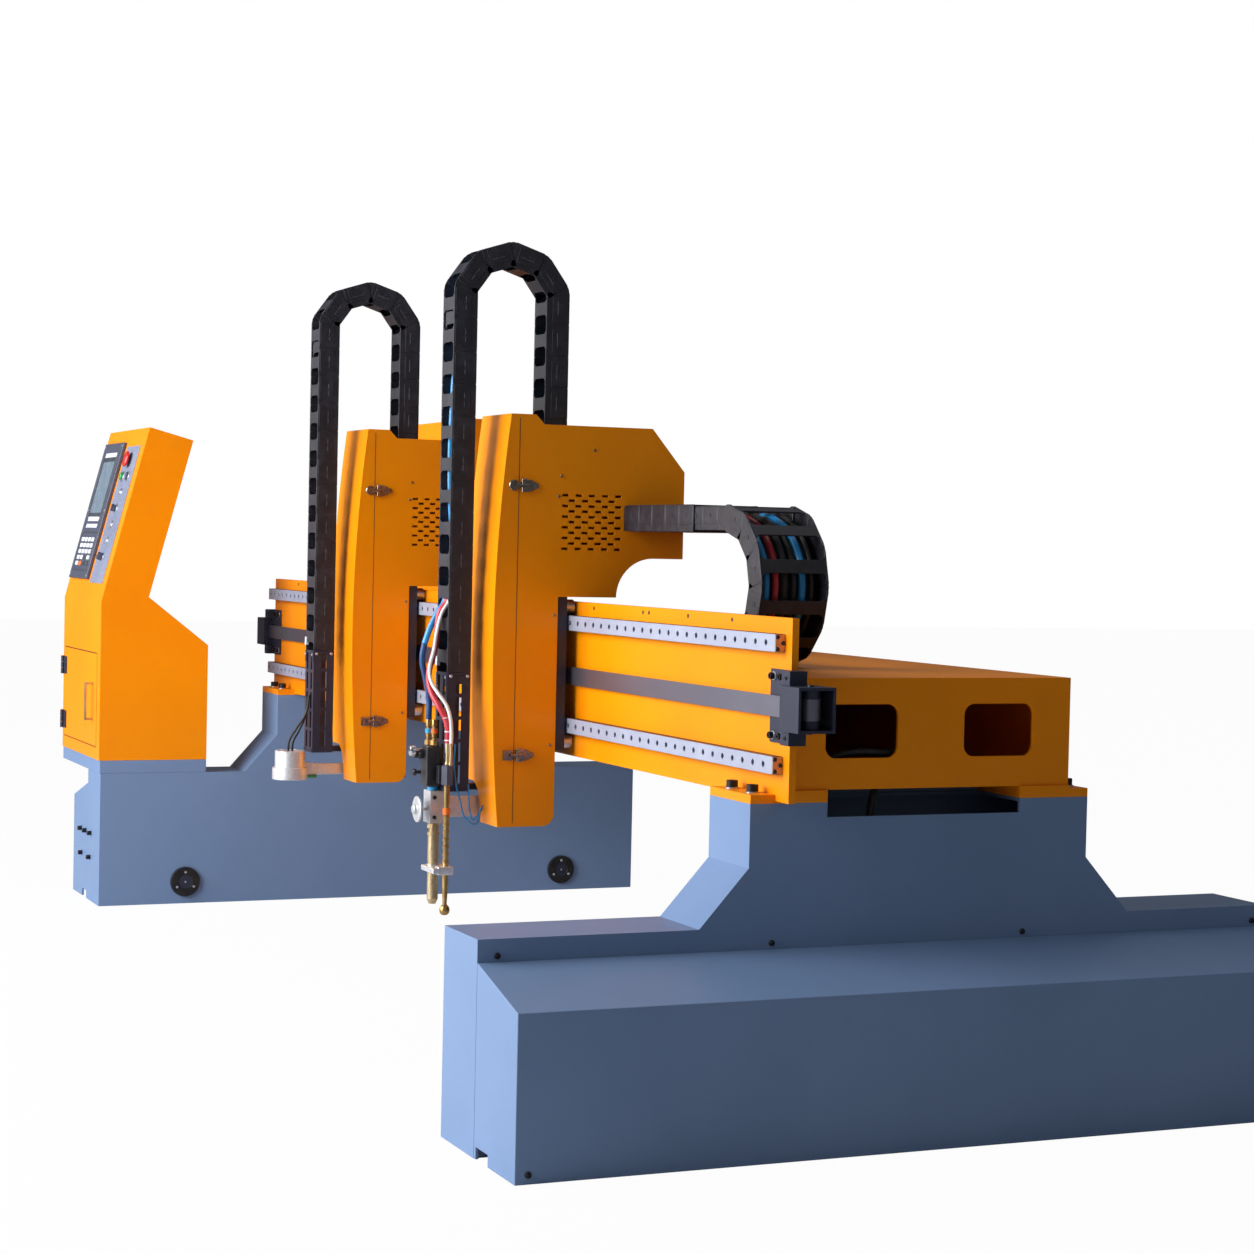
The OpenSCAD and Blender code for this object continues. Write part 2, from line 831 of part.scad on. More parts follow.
module bend_outline(dirs, lens, h) {
    n = len(lens);
    turn_in = dirs[1] - dirs[0];
    turn_out = dirs[n + 1] - dirs[n];
    finish = bend_joint(dirs, lens, n);
    outer_end = turn_out == 0 ? [] : [finish + h / 2 * left_of(dirs[n + 1])];
    polygon(concat(
        [h / 2 * left_of(dirs[0])],
        [for (i = [0:n]) mitre(dirs, lens, i, h / 2)],
        outer_end,
        [finish - h / 2 / cos(turn_out) * left_of(dirs[n + 1])],
        [for (i = [n - 1:-1:1]) mitre(dirs, lens, i, -h / 2)],
        [-h / 2 / cos(turn_in) * left_of(dirs[0])]
    ));
}

module chain_bend(dirs, lens, w, h) {
    for (y = [-w / 2, w / 2 - side_t]) along_y(y, y + side_t) bend_outline(dirs, lens, h);
    for (i = [0:len(lens) - 1]) {
        joint = bend_joint(dirs, lens, i);
        links = round(lens[i] / pitch);
        translate([joint[0], 0, joint[1]]) rotate([0, -dirs[i + 1], 0])
            for (k = [0:links - 1], z = [-h / 2 + nest, h / 2 - nest - bar_t]) {
                slab(pitch * (k + 0.28), pitch * (k + 0.72), -w / 2 + 1, w / 2 - 1, z, z + bar_t);
            }
    }
}

inner_lift_w = lift_chain_w - 2 * (side_t + nest);
inner_lift_h = lift_chain_h - 2 * (bar_t + nest);
inner_cross_w = cross_chain_w - 2 * (side_t + nest);
inner_cross_h = cross_chain_h - 2 * (bar_t + nest);

module cross_chain_upper() {
    z = cross_mid_z + cross_half;
    z0 = z - cross_chain_h / 2;
    z1 = z + cross_chain_h / 2;
    x0 = near_head_x + half_w;
    black_plastic() home() {
        translate([cross_start, cross_y + cross_chain_w / 2, z])
            chain_run(upper_links * pitch, cross_chain_w, cross_chain_h, upper_links);
        for (y = [cross_y, cross_y + cross_chain_w - 8]) slab(x0, cross_start, y, y + 8, z0, z1);
    }
}

// The tails slide in the straight runs, and cheeks join them to the bend
module cross_chain_bend() {
    w = cross_chain_w / 2;
    cheek = side_t + nest;
    black_plastic() home() translate([cross_bend_x, cross_y + w, 0]) {
        translate([0, 0, cross_mid_z + cross_half])
            chain_bend([0, -15, -45, -75, -105, -135, -165, -180], [for (i = [1:6]) pitch],
                cross_chain_w, cross_chain_h);
        for (z = [cross_mid_z - cross_half, cross_mid_z + cross_half]) {
            translate([-cross_tail, 0, z]) chain_run(cross_tail + 20, inner_cross_w, inner_cross_h, 5);
            for (y = [-w + 1, w - 1 - cheek]) slab(2, 18, y, y + cheek, z - 22, z + 22);
        }
    }
}

module cross_chain_lower() {
    start = cross_end - lower_links * pitch;
    black_plastic() home() translate([start, cross_y + cross_chain_w / 2, cross_low_z])
        chain_run(lower_links * pitch, cross_chain_w, cross_chain_h, lower_links);
}

// Heads, drawn with their middle at X = 0
module head_outline(t) {
    r = foot_r;
    difference() {
        polygon([
            [seam_y, head_top - t],
            [-125 - t * 0.4, head_top - t],
            [-102 - t * 0.4, roof_z - t],
            [193 - t * 0.5, roof_z - t],
            [head_back - t, 1436 - t * 0.4],
            [head_back - t, shoulder_z + t],
            [arch_y, shoulder_z + t],
            [arch_y, floor_z + t],
            [back_y, floor_z + t],
            for (a = [0:15:90]) [back_y - r + r * cos(a), head_bottom + r - r * sin(a)],
            [seam_y, head_bottom]
        ]);
        translate([arch_y, floor_z]) circle(arch_r + t);
    }
}

module vent_slots() {
    for (row = [0:10]) {
        shift = row % 2 == 0 ? 0 : 18;
        for (i = [0:(row % 2 == 0 ? 4 : 3)]) {
            slab(half_w - sheet - cut, half_w + cut, -48 + shift + 36 * i - 3, -48 + shift + 36 * i + 14,
                1232 + 13.4 * row, 1238 + 13.4 * row);
        }
    }
}

module head_housing() {
    difference() {
        along_x(-half_w, half_w) head_outline(0);
        along_x(-half_w + sheet, half_w - sheet) {
            head_outline(sheet);
            polygon([
                [seam_y - cut, head_top - sheet],
                [-130, head_top - sheet],
                [-104, roof_z - sheet],
                [-104, floor_z + sheet],
                [plate_front + 11, floor_z + sheet],
                [plate_front + 11, head_bottom - cut],
                [seam_y - cut, head_bottom - cut]
            ]);
        }
        slab(chain_x - lift_chain_w / 2 - 2, chain_x + lift_chain_w / 2 + 2,
            chain_back_y - lift_chain_h / 2 - 2, chain_back_y + lift_chain_h / 2 + 2,
            roof_z - 10, roof_z + cut);
        vent_slots();
    }
}

module cover_body(t) {
    intersection() {
        slab(-half_w + t, half_w - t, bulge_y - cut, seam_y, head_bottom + t, head_top - t);
        rod_x(bulge_r - t, -half_w + t, half_w - t, bulge_y + bulge_r, bulge_z, $fn = 180);
    }
}

module head_cover() {
    translate([0, -gap, 0]) difference() {
        cover_body(0);
        cover_body(sheet);
        slab(-half_w + sheet, half_w - sheet, seam_y - 4, seam_y + cut, head_bottom + sheet,
            head_top - sheet);
        along_y(bulge_y - cut, seam_y + cut) {
            translate([-half_w - cut, head_bottom - cut]) square([88 + cut, 60]);
            translate([-half_w + 44, head_bottom + 59]) circle(44);
            translate([-half_w - cut, head_bottom - cut]) square([44 + cut, 104]);
        }
    }
}

module latch(z) {
    slab(half_w, half_w + 3, seam_y + 6, seam_y + 44, z - 9, z + 9);
    slab(half_w + 3, half_w + 9, seam_y + 12, seam_y + 34, z - 6, z + 6);
    slab(half_w + gap, half_w + 4, seam_y - 18, seam_y - 3, z - 9, z + 9);
    slab(half_w + 4, half_w + 7, seam_y - 12, seam_y + 20, z - 5, z + 5);
}

module head_latches() {
    both_sides() for (z = [718, 1390]) latch(z);
}

module head_plate() {
    difference() {
        union() {
            slab(-half_w + sheet, half_w - sheet, plate_front, plate_back, plate_bottom + 16, floor_z);
            slab(-70, 70, plate_front, plate_front + 10, head_bottom + 10, spine_z1);
            for (x = [-guide_x, guide_x]) {
                slab(x - guide_w / 2, x + guide_w / 2, guide_y, plate_front, head_bottom + 22, spine_z1 - 8);
            }
            slab(-45, 45, screw_y - 34, plate_front, spine_z1 - 8, spine_z1);
            slab(-bearing_left, 45, screw_y - 20, plate_front, head_bottom + 10, head_bottom + 22);
            slab(-30, 30, plate_back, -band_out + band_y - gap, band_z - 18, band_z + 18);
            for (x = [-guide_roller_x, guide_roller_x], z = [lower_rail_z - guide_roller_r - gap,
                    upper_rail_z + rail_w + guide_roller_r + gap]) {
                rod_y(7, plate_back, -3, x, z);
            }
        }
        rod_z(screw_r + run, head_bottom + 14, spine_z1 + cut, 0, screw_y);
    }
}

module guide_rollers() {
    for (x = [-guide_roller_x, guide_roller_x], z = [lower_rail_z - guide_roller_r - gap,
            upper_rail_z + rail_w + guide_roller_r + gap]) {
        difference() {
            rod_y(guide_roller_r, plate_back + 2, -4, x, z);
            rod_y(7 + seat, plate_back, -1, x, z);
        }
    }
}

module lift_motor() {
    difference() {
        union() {
            slab(-30, 30, screw_y - 30, screw_y + 30, spine_z1, spine_z1 + 78);
            rod_z(26, spine_z1 + 78, spine_z1 + 104, 0, screw_y);
        }
        rod_z(screw_r + run, spine_z1 - cut, spine_z1 + 22, 0, screw_y);
    }
}

module lift_screw() {
    rod_z(screw_r, head_bottom + 15, spine_z1 + 20, 0, screw_y);
}

module lift_slide() {
    block_y = guide_y + 11;
    difference() {
        union() {
            slab(-60, 60, -98, block_y - gap, lift_z0, lift_z1);
            slab(-30, 30, screw_y - 20, -97, lift_z0 + 30, lift_z1 - 30);
            slab(-88, -28, -98, -88, arm_z0 - 12, lift_z1);
        }
        for (x = [-guide_x, guide_x]) {
            slab(x - guide_w / 2 - gap, x + guide_w / 2 + gap, guide_y - gap, block_y + cut,
                lift_z0 - cut, lift_z1 + cut);
        }
        rod_z(screw_r + run, lift_z0 - cut, lift_z1 + cut, 0, screw_y);
    }
    slab(-72, -44, chain_front_y + lift_chain_h / 2 - 2, -97, bracket_z0 - 4, bracket_z0 + 12);
    slotted_bracket();
}

module slotted_bracket() {
    x0 = chain_x - lift_chain_w / 2;
    x1 = chain_x + lift_chain_w / 2;
    y0 = bracket_y0;
    y1 = chain_front_y + lift_chain_h / 2;
    t = bracket_t;
    difference() {
        slab(x0, x1, y0, y1, bracket_z0, leg_z0);
        slab(x0 + t, x1 - t, y0 + t, y1 + cut, bracket_z0 - cut, leg_z0 - t);
        for (i = [0:4]) {
            low = bracket_z0 + slot_low + slot_step * i;
            for (x = [chain_x - 28, chain_x + 12]) {
                slab(x, x + slot_w, y0 - cut, y0 + t + cut, low, low + slot_h);
            }
            slab(x0 - cut, x1 + cut, chain_front_y - slot_w / 2, chain_front_y + slot_w / 2,
                low + 4, low + 4 + slot_h);
        }
    }
}

// The chain's leg stands on the bracket and the bend rides over it at half speed
module lift_chain_leg() {
    translate([chain_x, chain_front_y, leg_z0]) rotate([0, -90, 90])
        chain_run(leg_links * pitch, lift_chain_w, lift_chain_h, leg_links);
}

module lift_chain_bend() {
    w = lift_chain_w / 2;
    low = leg_top + nest;
    cheek = side_t + nest;
    translate([chain_x, 0, 0]) {
        translate([0, chain_front_y, low]) rotate([0, 0, 90])
            chain_bend([90, 54, 18, -18, -54, -90, -90], [pitch, pitch, pitch, pitch, back_links * pitch],
                lift_chain_w, lift_chain_h);
        translate([0, chain_front_y, low - lift_tail]) rotate([0, -90, 90])
            chain_run(lift_tail + 20, inner_lift_w, inner_lift_h, 2);
        for (x = [-w + 1, w - 1 - cheek]) {
            slab(x, x + cheek, chain_front_y - 18, chain_front_y + 18, low + 2, low + 18);
        }
    }
}

module near_head() {
    home() translate([near_head_x, 0, 0]) children();
}

module far_head() {
    home() translate([far_head_x, 0, 0]) children();
}

module near_head_plate() { dark_steel() near_head() head_plate(); }
module near_guide_rollers() { bright_steel() near_head() guide_rollers(); }
module near_housing() { orange_paint() near_head() head_housing(); }
module near_cover() { orange_paint() near_head() head_cover(); }
module near_latches() { bright_steel() near_head() head_latches(); }
module near_lift_motor() { black_plastic() near_head() lift_motor(); }
module near_lift_screw() { bright_steel() near_head() lift_screw(); }
module near_lift() { dark_steel() near_head() lift_slide(); }
module near_chain_bend() { black_plastic() near_head() lift_chain_bend(); }
module near_chain_leg() { black_plastic() near_head() lift_chain_leg(); }

module far_head_plate() { dark_steel() far_head() head_plate(); }
module far_guide_rollers() { bright_steel() far_head() guide_rollers(); }
module far_housing() { orange_paint() far_head() head_housing(); }
module far_cover() { orange_paint() far_head() head_cover(); }
module far_latches() { bright_steel() far_head() head_latches(); }
module far_lift_motor() { black_plastic() far_head() lift_motor(); }
module far_lift_screw() { bright_steel() far_head() lift_screw(); }
module far_lift() { dark_steel() far_head() lift_slide(); }
module far_chain_bend() { black_plastic() far_head() lift_chain_bend(); }
module far_chain_leg() { black_plastic() far_head() lift_chain_leg(); }

// Cutting torch on the near head
module torch_arm() {
    x0 = torch_x - 26;
    color([0.80, 0.81, 0.83]) home() difference() {
        union() {
            slab(x0, x0 + 12, clamp_back, -98 - gap, arm_z0, arm_z1);
            slab(x0, torch_x + 26, clamp_front, clamp_back, clamp_z0, clamp_z1);
        }
        rod_z(barrel_r + seat, clamp_z0 - cut, clamp_z1 + cut, torch_x, torch_y);
        rod_y(5 + run, clamp_front - cut, torch_y - barrel_r - 1.5, torch_x, knob_z);
    }
}

module clamp_knob() {
    bright_steel() home() {
        rod_y(5, clamp_front - 22, clamp_front + 2.5, torch_x, knob_z);
        rod_y(knob_r, clamp_front - 28, clamp_front - 22, torch_x, knob_z);
        rod_y(12, clamp_front - 38, clamp_front - 28, torch_x, knob_z);
    }
}

module torch() {
    tip = clamp_z0 - barrel_len;
    color([0.72, 0.55, 0.25]) home() {
        rod_z(barrel_r, tip + 12, clamp_z1 - 1, torch_x, torch_y);
        rod_z(neck_r, clamp_z1 - 2, clamp_z1 + 8, torch_x, torch_y);
        translate([torch_x, torch_y, tip]) cylinder(r1 = barrel_r - 5, r2 = barrel_r, h = 12);
        rod_z(igniter_r, igniter_tip, nut_z0, igniter_x, igniter_y);
        translate([igniter_x, igniter_y, igniter_tip]) sphere(13);
        slab(torch_x - 17, igniter_x + 16, torch_y - 26, torch_y + 28, bar_z, bar_z + bar_h);
    }
}

module torch_valves() {
    z0 = clamp_z1 + 8;
    dark_steel() home() {
        slab(torch_x - 26, torch_x + 30, valve_y0 + 30, bracket_y0 - gap, z0, valve_z1);
        slab(torch_x + 29, igniter_x + 20, torch_y - 8, bracket_y0 - gap, nut_z0, nut_z1);
        slab(igniter_x - 12, igniter_x + 20, bracket_y0 - 1, bracket_y0 + 16, nut_z0, nut_z1);
        rod_y(14, valve_y0, valve_y0 + 14, torch_x, valve_z1 - 14);
        rod_y(6, valve_y0 + 14, valve_y0 + 30, torch_x, valve_z1 - 14);
        rod_y(9, valve_y0 + 8, valve_y0 + 18, torch_x, z0 + 38);
        rod_y(5, valve_y0 + 18, valve_y0 + 30, torch_x, z0 + 38);
        for (p = [[699, -350], [715, -340]]) {
            rod_z(7, valve_z1, nipple_z, p[0], p[1]);
            rod_z(9, valve_z1, valve_z1 + 14, p[0], p[1]);
        }
        rod_z(7, nut_z1, hose_end_z, 766, -322);
        rod_z(5, nut_z1, hose_end_z, 780, -318);
    }
}

module torch_hoses() {
    color([0.15, 0.45, 0.70]) home() {
        tube(blue_route, hose_r, [1, 0, 0]);
        tube(white_route, 5.5, [1, 0, 0]);
        tube(red_route, hose_r, [1, 0, 0]);
    }
}

// Magnetic tool holder on the far head
module magnet_holder() {
    color([0.80, 0.81, 0.83]) home() {
        difference() {
            union() {
                rod_z(magnet_r, magnet_z0, magnet_z0 + 35, magnet_x, magnet_y);
                rod_z(magnet_r - 4.5, magnet_z0 + 35, magnet_z1, magnet_x, magnet_y);
                slab(far_head_x - 39, far_head_x - 27, magnet_y + 10, -98 - gap, arm_z0, arm_z0 + 32);
            }
            rod_z(socket_r, magnet_z0 - cut, magnet_z0 + socket_depth, magnet_x, magnet_y);
        }
    }
}

module tool_wires() {
    black_plastic() home() {
        tube(wire_a, 3.5, [1, 0, 0]);
        tube(wire_b, 3.5, [1, 0, 0]);
    }
}

// Console
module console_outline(t) {
    side = t / cos(panel_tilt);
    base = t > 0 ? cabinet_z + t : cabinet_z;
    polygon([
        [kink_y + t, base],
        [kink_y + t, panel_z],
        [kink_y + slope_y + side, panel_z + slope_z - t],
        [kink_y + slope_y + box_y - side, panel_z + slope_z - box_z - t],
        [kink_y + box_y - side + 12, rear_kink_z],
        [-console_rear - t, shoulder_top - t],
        [-console_rear - t, base]
    ]);
}

// Local x runs along the panel, y up its slope and z out of it
module on_panel() {
    translate([0, kink_y, panel_z]) rotate([90 - panel_tilt, 0, 0]) children();
}

module control_holes(depth) {
    for (p = concat([[strip_mid, stop_s], [start_x, key_s], [halt_x, key_s], [strip_mid, selector_s],
            [strip_mid, speed_s]], [for (s = lamp_s) [strip_mid, s]])) {
        translate([p[0], p[1], -depth]) cylinder(r = stem_r + run, h = 2 * depth);
    }
}

module console_cabinet() {
    orange_paint() home() difference() {
        union() {
            along_x(console_x, -inner_x) console_outline(0);
            for (z = hinge_z, end = [0, hinge_h * 2 / 3]) {
                rod_z(hinge_r, z + end, z + end + hinge_h / 3, hinge_x, hinge_y);
                slab(hinge_x - hinge_r, hinge_x, hinge_y, kink_y, z + end, z + end + hinge_h / 3);
            }
            for (z = hinge_z) rod_z(pin_r, z, z + hinge_h, hinge_x, hinge_y);
        }
        along_x(console_x + console_sheet, -inner_x - console_sheet) console_outline(console_sheet);
        slab(door_x, door_x + door_w, kink_y - cut, kink_y + console_sheet + cut, door_z, door_z + door_h);
        on_panel() control_holes(30);
    }
}

module console_plinth() {
    color([0.55, 0.58, 0.66]) home() slab(console_x, -inner_x, kink_y + 3, -console_rear, ledge_z, cabinet_z);
}

module console_door() {
    orange_paint() home() {
        difference() {
            union() {
                slab(door_x + door_gap, door_x + door_w - door_gap, kink_y, kink_y + console_sheet,
                    door_z + door_gap, door_z + door_h - door_gap);
                for (z = hinge_z) {
                    rod_z(hinge_r, z + hinge_h / 3 + gap, z + hinge_h * 2 / 3 - gap, hinge_x, hinge_y);
                    slab(hinge_x, door_x + 30, kink_y - 2.5, kink_y - 0.5, z + hinge_h / 3 + gap,
                        z + hinge_h * 2 / 3 - gap);
                    slab(door_x + 12, door_x + 30, kink_y - 1, kink_y, z + hinge_h / 3 + gap,
                        z + hinge_h * 2 / 3 - gap);
                }
            }
            for (z = hinge_z) rod_z(pin_r + run, z, z + hinge_h, hinge_x, hinge_y);
        }
    }
}

module door_handle() {
    x = door_x + door_w - 63;
    z = door_z + 86;
    color([0.80, 0.72, 0.62]) home() {
        slab(x - 6, x + 6, kink_y - handle_reach, kink_y - handle_reach + 6, z, z + 128);
        for (end = [0, 120]) slab(x - 6, x + 6, kink_y - handle_reach + 6, kink_y, z + end, z + end + 8);
    }
}

module controller() {
    x0 = console_x + 36;
    color([0.22, 0.24, 0.28]) home() on_panel() difference() {
        translate([x0, controller_s, 0]) linear_extrude(controller_t)
            round_rect(controller_w, controller_h, 12);
        translate([x0 + 50, controller_s + 236, controller_t - 4]) linear_extrude(10)
            round_rect(controller_w - 100, 190, 6);
        for (i = [0:4], k = [0:3]) {
            translate([x0 + 50 + 42 * i, controller_s + 38 + 30 * k, controller_t - 1.5]) linear_extrude(10)
                round_rect(34, 22, 3);
        }
    }
}

module switch_strip() {
    color([0.45, 0.52, 0.62]) home() on_panel() difference() {
        translate([strip_x0, strip_s0, 0]) linear_extrude(strip_t) round_rect(strip_x1 - strip_x0,
            strip_s1 - strip_s0, 4);
        control_holes(20);
    }
}

// A control with a stem through the panel, drawn at its place on the panel
module panel_control(x, s, r, h) {
    home() on_panel() translate([x, s, 0]) {
        translate([0, 0, -15]) cylinder(r = stem_r, h = 16 + strip_t);
        translate([0, 0, strip_t + 7]) cylinder(r = r, h = h);
        cylinder(r = stem_r, h = strip_t + 8);
    }
}

module emergency_stop() { color([0.80, 0.08, 0.10]) panel_control(strip_mid, stop_s, 28, 14); }
module start_button() { color([0.10, 0.60, 0.30]) panel_control(start_x, key_s, 14, 5); }
module stop_button() { black_plastic() panel_control(halt_x, key_s, 14, 5); }

module mode_selector() {
    black_plastic() {
        panel_control(strip_mid, selector_s, 13, 6);
        home() on_panel() translate([strip_mid - 3, selector_s - 12, strip_t + 12]) cube([6, 24, 8]);
    }
}

module speed_knob() {
    black_plastic() panel_control(strip_mid, speed_s, 14, 14);
}

module pilot_lamps() {
    bright_steel() home() on_panel() for (s = lamp_s) translate([strip_mid, s, 0]) {
        translate([0, 0, -15]) cylinder(r = stem_r - 0.1, h = 16 + strip_t);
        translate([0, 0, strip_t]) cylinder(r = 13, h = 5);
        translate([0, 0, strip_t + 5]) cylinder(r = 9, h = 4);
    }
}

module control_box() {
    t = control_sheet;
    orange_paint() home() difference() {
        union() {
            slab(control_x0, control_x1, control_y0, control_y1, beam_top, control_z1);
            slab(control_x0 + 25, control_x1 - 25, control_y1, control_y1 + 18,
                beam_top + 25, control_z1 - 25);
        }
        slab(control_x0 + t, control_x1 - t, control_y0 + t, control_y1 - t, beam_top + t, control_z1 - t);
        for (x = control_holes_x) rod_z(cable_hole_r, beam_top - cut, beam_top + t + cut, x, cable_hole_y);
    }
}

near_carriage();
far_carriage();
side_covers();
axles_and_motors();
rail_plate();
box_beam();
beam_ends();
fasteners();
guide_rails();
drive_band();
tensioners();
beam_cables();
cross_chain_lower();
console_cabinet();
console_plinth();
controller();
switch_strip();
control_box();
pilot_lamps();
console_door();
door_handle();
emergency_stop();
start_button();
stop_button();
mode_selector();
speed_knob();
front_wheels();
rear_wheels();
drive_pinions();
right_band_roller();
left_band_roller();
cross_chain_upper();
cross_chain_bend();
near_head_plate();
near_guide_rollers();
near_housing();
near_cover();
near_latches();
near_lift_motor();
near_lift_screw();
near_lift();
near_chain_bend();
near_chain_leg();
far_head_plate();
far_guide_rollers();
far_housing();
far_cover();
far_latches();
far_lift_motor();
far_lift_screw();
far_lift();
far_chain_bend();
far_chain_leg();
torch_arm();
torch();
torch_valves();
torch_hoses();
clamp_knob();
magnet_holder();
tool_wires();
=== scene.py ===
import bpy
import json
import math
from mathutils import Matrix, Vector


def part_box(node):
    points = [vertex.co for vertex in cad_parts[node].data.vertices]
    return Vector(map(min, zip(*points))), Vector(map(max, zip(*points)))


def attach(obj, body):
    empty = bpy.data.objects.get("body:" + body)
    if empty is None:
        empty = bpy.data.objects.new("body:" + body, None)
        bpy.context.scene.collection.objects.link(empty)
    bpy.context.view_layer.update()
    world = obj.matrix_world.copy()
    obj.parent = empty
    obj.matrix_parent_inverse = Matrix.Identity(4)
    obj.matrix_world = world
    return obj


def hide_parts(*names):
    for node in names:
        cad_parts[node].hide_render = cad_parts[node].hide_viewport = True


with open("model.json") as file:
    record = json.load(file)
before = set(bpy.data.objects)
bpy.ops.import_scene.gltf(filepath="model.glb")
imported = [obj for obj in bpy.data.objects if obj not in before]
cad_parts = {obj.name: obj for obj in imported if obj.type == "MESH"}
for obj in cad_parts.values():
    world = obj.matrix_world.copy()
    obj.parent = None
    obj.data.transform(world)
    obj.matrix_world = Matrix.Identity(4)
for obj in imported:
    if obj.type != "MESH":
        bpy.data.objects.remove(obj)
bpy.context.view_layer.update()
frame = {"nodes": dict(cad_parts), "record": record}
nodes = frame["nodes"]
scene = bpy.context.scene
scene.view_settings.view_transform = "Standard"

# the drawing counts millimetres from the middle of the front plate, whose front face is y = 0
plateLow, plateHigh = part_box("rail_plate")
shift = Vector(((plateLow.x + plateHigh.x) / 2, plateLow.y, 0))
mm = 0.001
front, alongX, upward = (0, -1, 0), (1, 0, 0), (0, 0, 1)


def at(x, y, z):
    return shift + Vector((x, y, z)) * mm


def scaled(*values):
    return tuple(value * mm for value in values)


# camera at the photograph's place
camera = {
    "place": (6743.5, -2433.0, 1247.1),
    "yaw": 23.43,
    "down": 1.84,
    "roll": 1.25,
    "lens": 73.04,
    "sensor": 36.0,
    "far": 60,
}


def placeCamera():
    yaw, down, roll = (math.radians(camera[k]) for k in ("yaw", "down", "roll"))
    forward = Vector((-math.cos(yaw) * math.cos(down), math.sin(yaw) * math.cos(down), -math.sin(down)))
    right = Vector((math.sin(yaw), math.cos(yaw), 0))
    up = right.cross(forward)
    tiltedRight = right * math.cos(roll) + up * math.sin(roll)
    tiltedUp = up * math.cos(roll) - right * math.sin(roll)
    bpy.ops.object.camera_add()
    cam = bpy.context.object
    cam.name = "photoCamera"
    turn = Matrix((tiltedRight, tiltedUp, -forward)).transposed()
    cam.matrix_world = Matrix.Translation(at(*camera["place"])) @ turn.to_4x4()
    cam.data.lens = camera["lens"]
    cam.data.sensor_width = camera["sensor"]
    cam.data.clip_end = camera["far"]
    scene.camera = cam


placeCamera()
print("camera placed")


# studio, in metres: pale floor, large soft lamps on the torch side and above (place, aim, size, power)
studio = {
    "floorSize": 60.0,
    "floorColour": (0.62, 0.62, 0.64, 1),
    "floorWhite": 0.97,
    "sky": 0.13,
    "skyColour": (0.93, 0.96, 1.0, 1),
    "lamps": [
        ("frontLamp", (0.8, -6.0, 3.0), (0.2, 0.2, 0.8), 5.0, 600),
        ("leftLamp", (-4.5, -6.0, 2.6), (-1.6, -0.4, 0.7), 3.5, 190),
        ("rightLamp", (7.0, 1.5, 4.2), (0.8, 0.2, 0.7), 4.0, 14),
        ("topLamp", (0.0, 1.0, 6.0), (0.0, 0.0, 0.0), 5.0, 45),
    ],
}


# a new node: values for its sockets, or the sockets that feed them, and its own settings
def addNode(tree, kind, sockets=None, **settings):
    made = tree.nodes.new(kind)
    for key, value in settings.items():
        setattr(made, key, value)
    for key, value in (sockets or {}).items():
        if isinstance(value, bpy.types.NodeSocket):
            tree.links.new(value, made.inputs[key])
        else:
            made.inputs[key].default_value = value
    return made


def buildStudio():
    world = bpy.data.worlds.new("studioWorld")
    scene.world = world
    world.use_nodes = True
    tree = world.node_tree
    tree.nodes.clear()
    light = addNode(tree, "ShaderNodeBackground", {"Color": studio["skyColour"], "Strength": studio["sky"]})
    white = addNode(tree, "ShaderNodeBackground", {"Color": (1, 1, 1, 1)})
    seen = addNode(tree, "ShaderNodeLightPath").outputs["Is Camera Ray"]
    mix = addNode(tree, "ShaderNodeMixShader", {0: seen, 1: light.outputs[0], 2: white.outputs[0]})
    addNode(tree, "ShaderNodeOutputWorld", {0: mix.outputs[0]})

    bpy.ops.mesh.primitive_plane_add(size=studio["floorSize"])
    floor = bpy.context.object
    floor.name = "studioFloor"
    stuff = bpy.data.materials.new("floorWhite")
    stuff.use_nodes = True
    tree = stuff.node_tree
    tree.nodes.clear()
    matte = addNode(tree, "ShaderNodeBsdfDiffuse", {"Color": studio["floorColour"]})
    glow = addNode(tree, "ShaderNodeEmission")
    seen = addNode(tree, "ShaderNodeLightPath").outputs["Is Camera Ray"]
    share = addNode(tree, "ShaderNodeMath", {0: seen, 1: studio["floorWhite"]}, operation="MULTIPLY")
    feeds = {0: share.outputs[0], 1: matte.outputs[0], 2: glow.outputs[0]}
    mix = addNode(tree, "ShaderNodeMixShader", feeds)
    addNode(tree, "ShaderNodeOutputMaterial", {0: mix.outputs[0]})
    floor.data.materials.append(stuff)

    for name, place, aim, size, power in studio["lamps"]:
        bpy.ops.object.light_add(type="AREA", location=place)
        lamp = bpy.context.object
        lamp.name = name
        lamp.data.shape = "DISK"
        lamp.data.size = size
        lamp.data.energy = power
        lamp.rotation_euler = (Vector(aim) - Vector(place)).to_track_quat("-Z", "Y").to_euler()


buildStudio()
print("studio lit")


# shared effects: each group gives values that change over the surface
def openGroup(name, amounts):
    group = bpy.data.node_groups.new(name, "ShaderNodeTree")
    colours = {"Base": (0.5, 0.5, 0.5, 1), "Shade": (0.5, 0.5, 0.5, 1)}
    for label, value in {**colours, **amounts}.items():
        kind = {3: "Vector", 4: "Color"}[len(value)] if isinstance(value, tuple) else "Float"
        socket = group.interface.new_socket(name=label, in_out="INPUT", socket_type="NodeSocket" + kind)
        socket.default_value = value
    for label, kind in (("Colour", "Color"), ("Roughness", "Float"), ("Normal", "Vector")):
        group.interface.new_socket(name=label, in_out="OUTPUT", socket_type="NodeSocket" + kind)
    given = addNode(group, "NodeGroupInput").outputs
    return group, given, addNode(group, "ShaderNodeTexCoord").outputs["Object"]


def closeGroup(group, colour, roughness, normal):
    addNode(group, "NodeGroupOutput", {"Colour": colour, "Roughness": roughness, "Normal": normal})
    return group


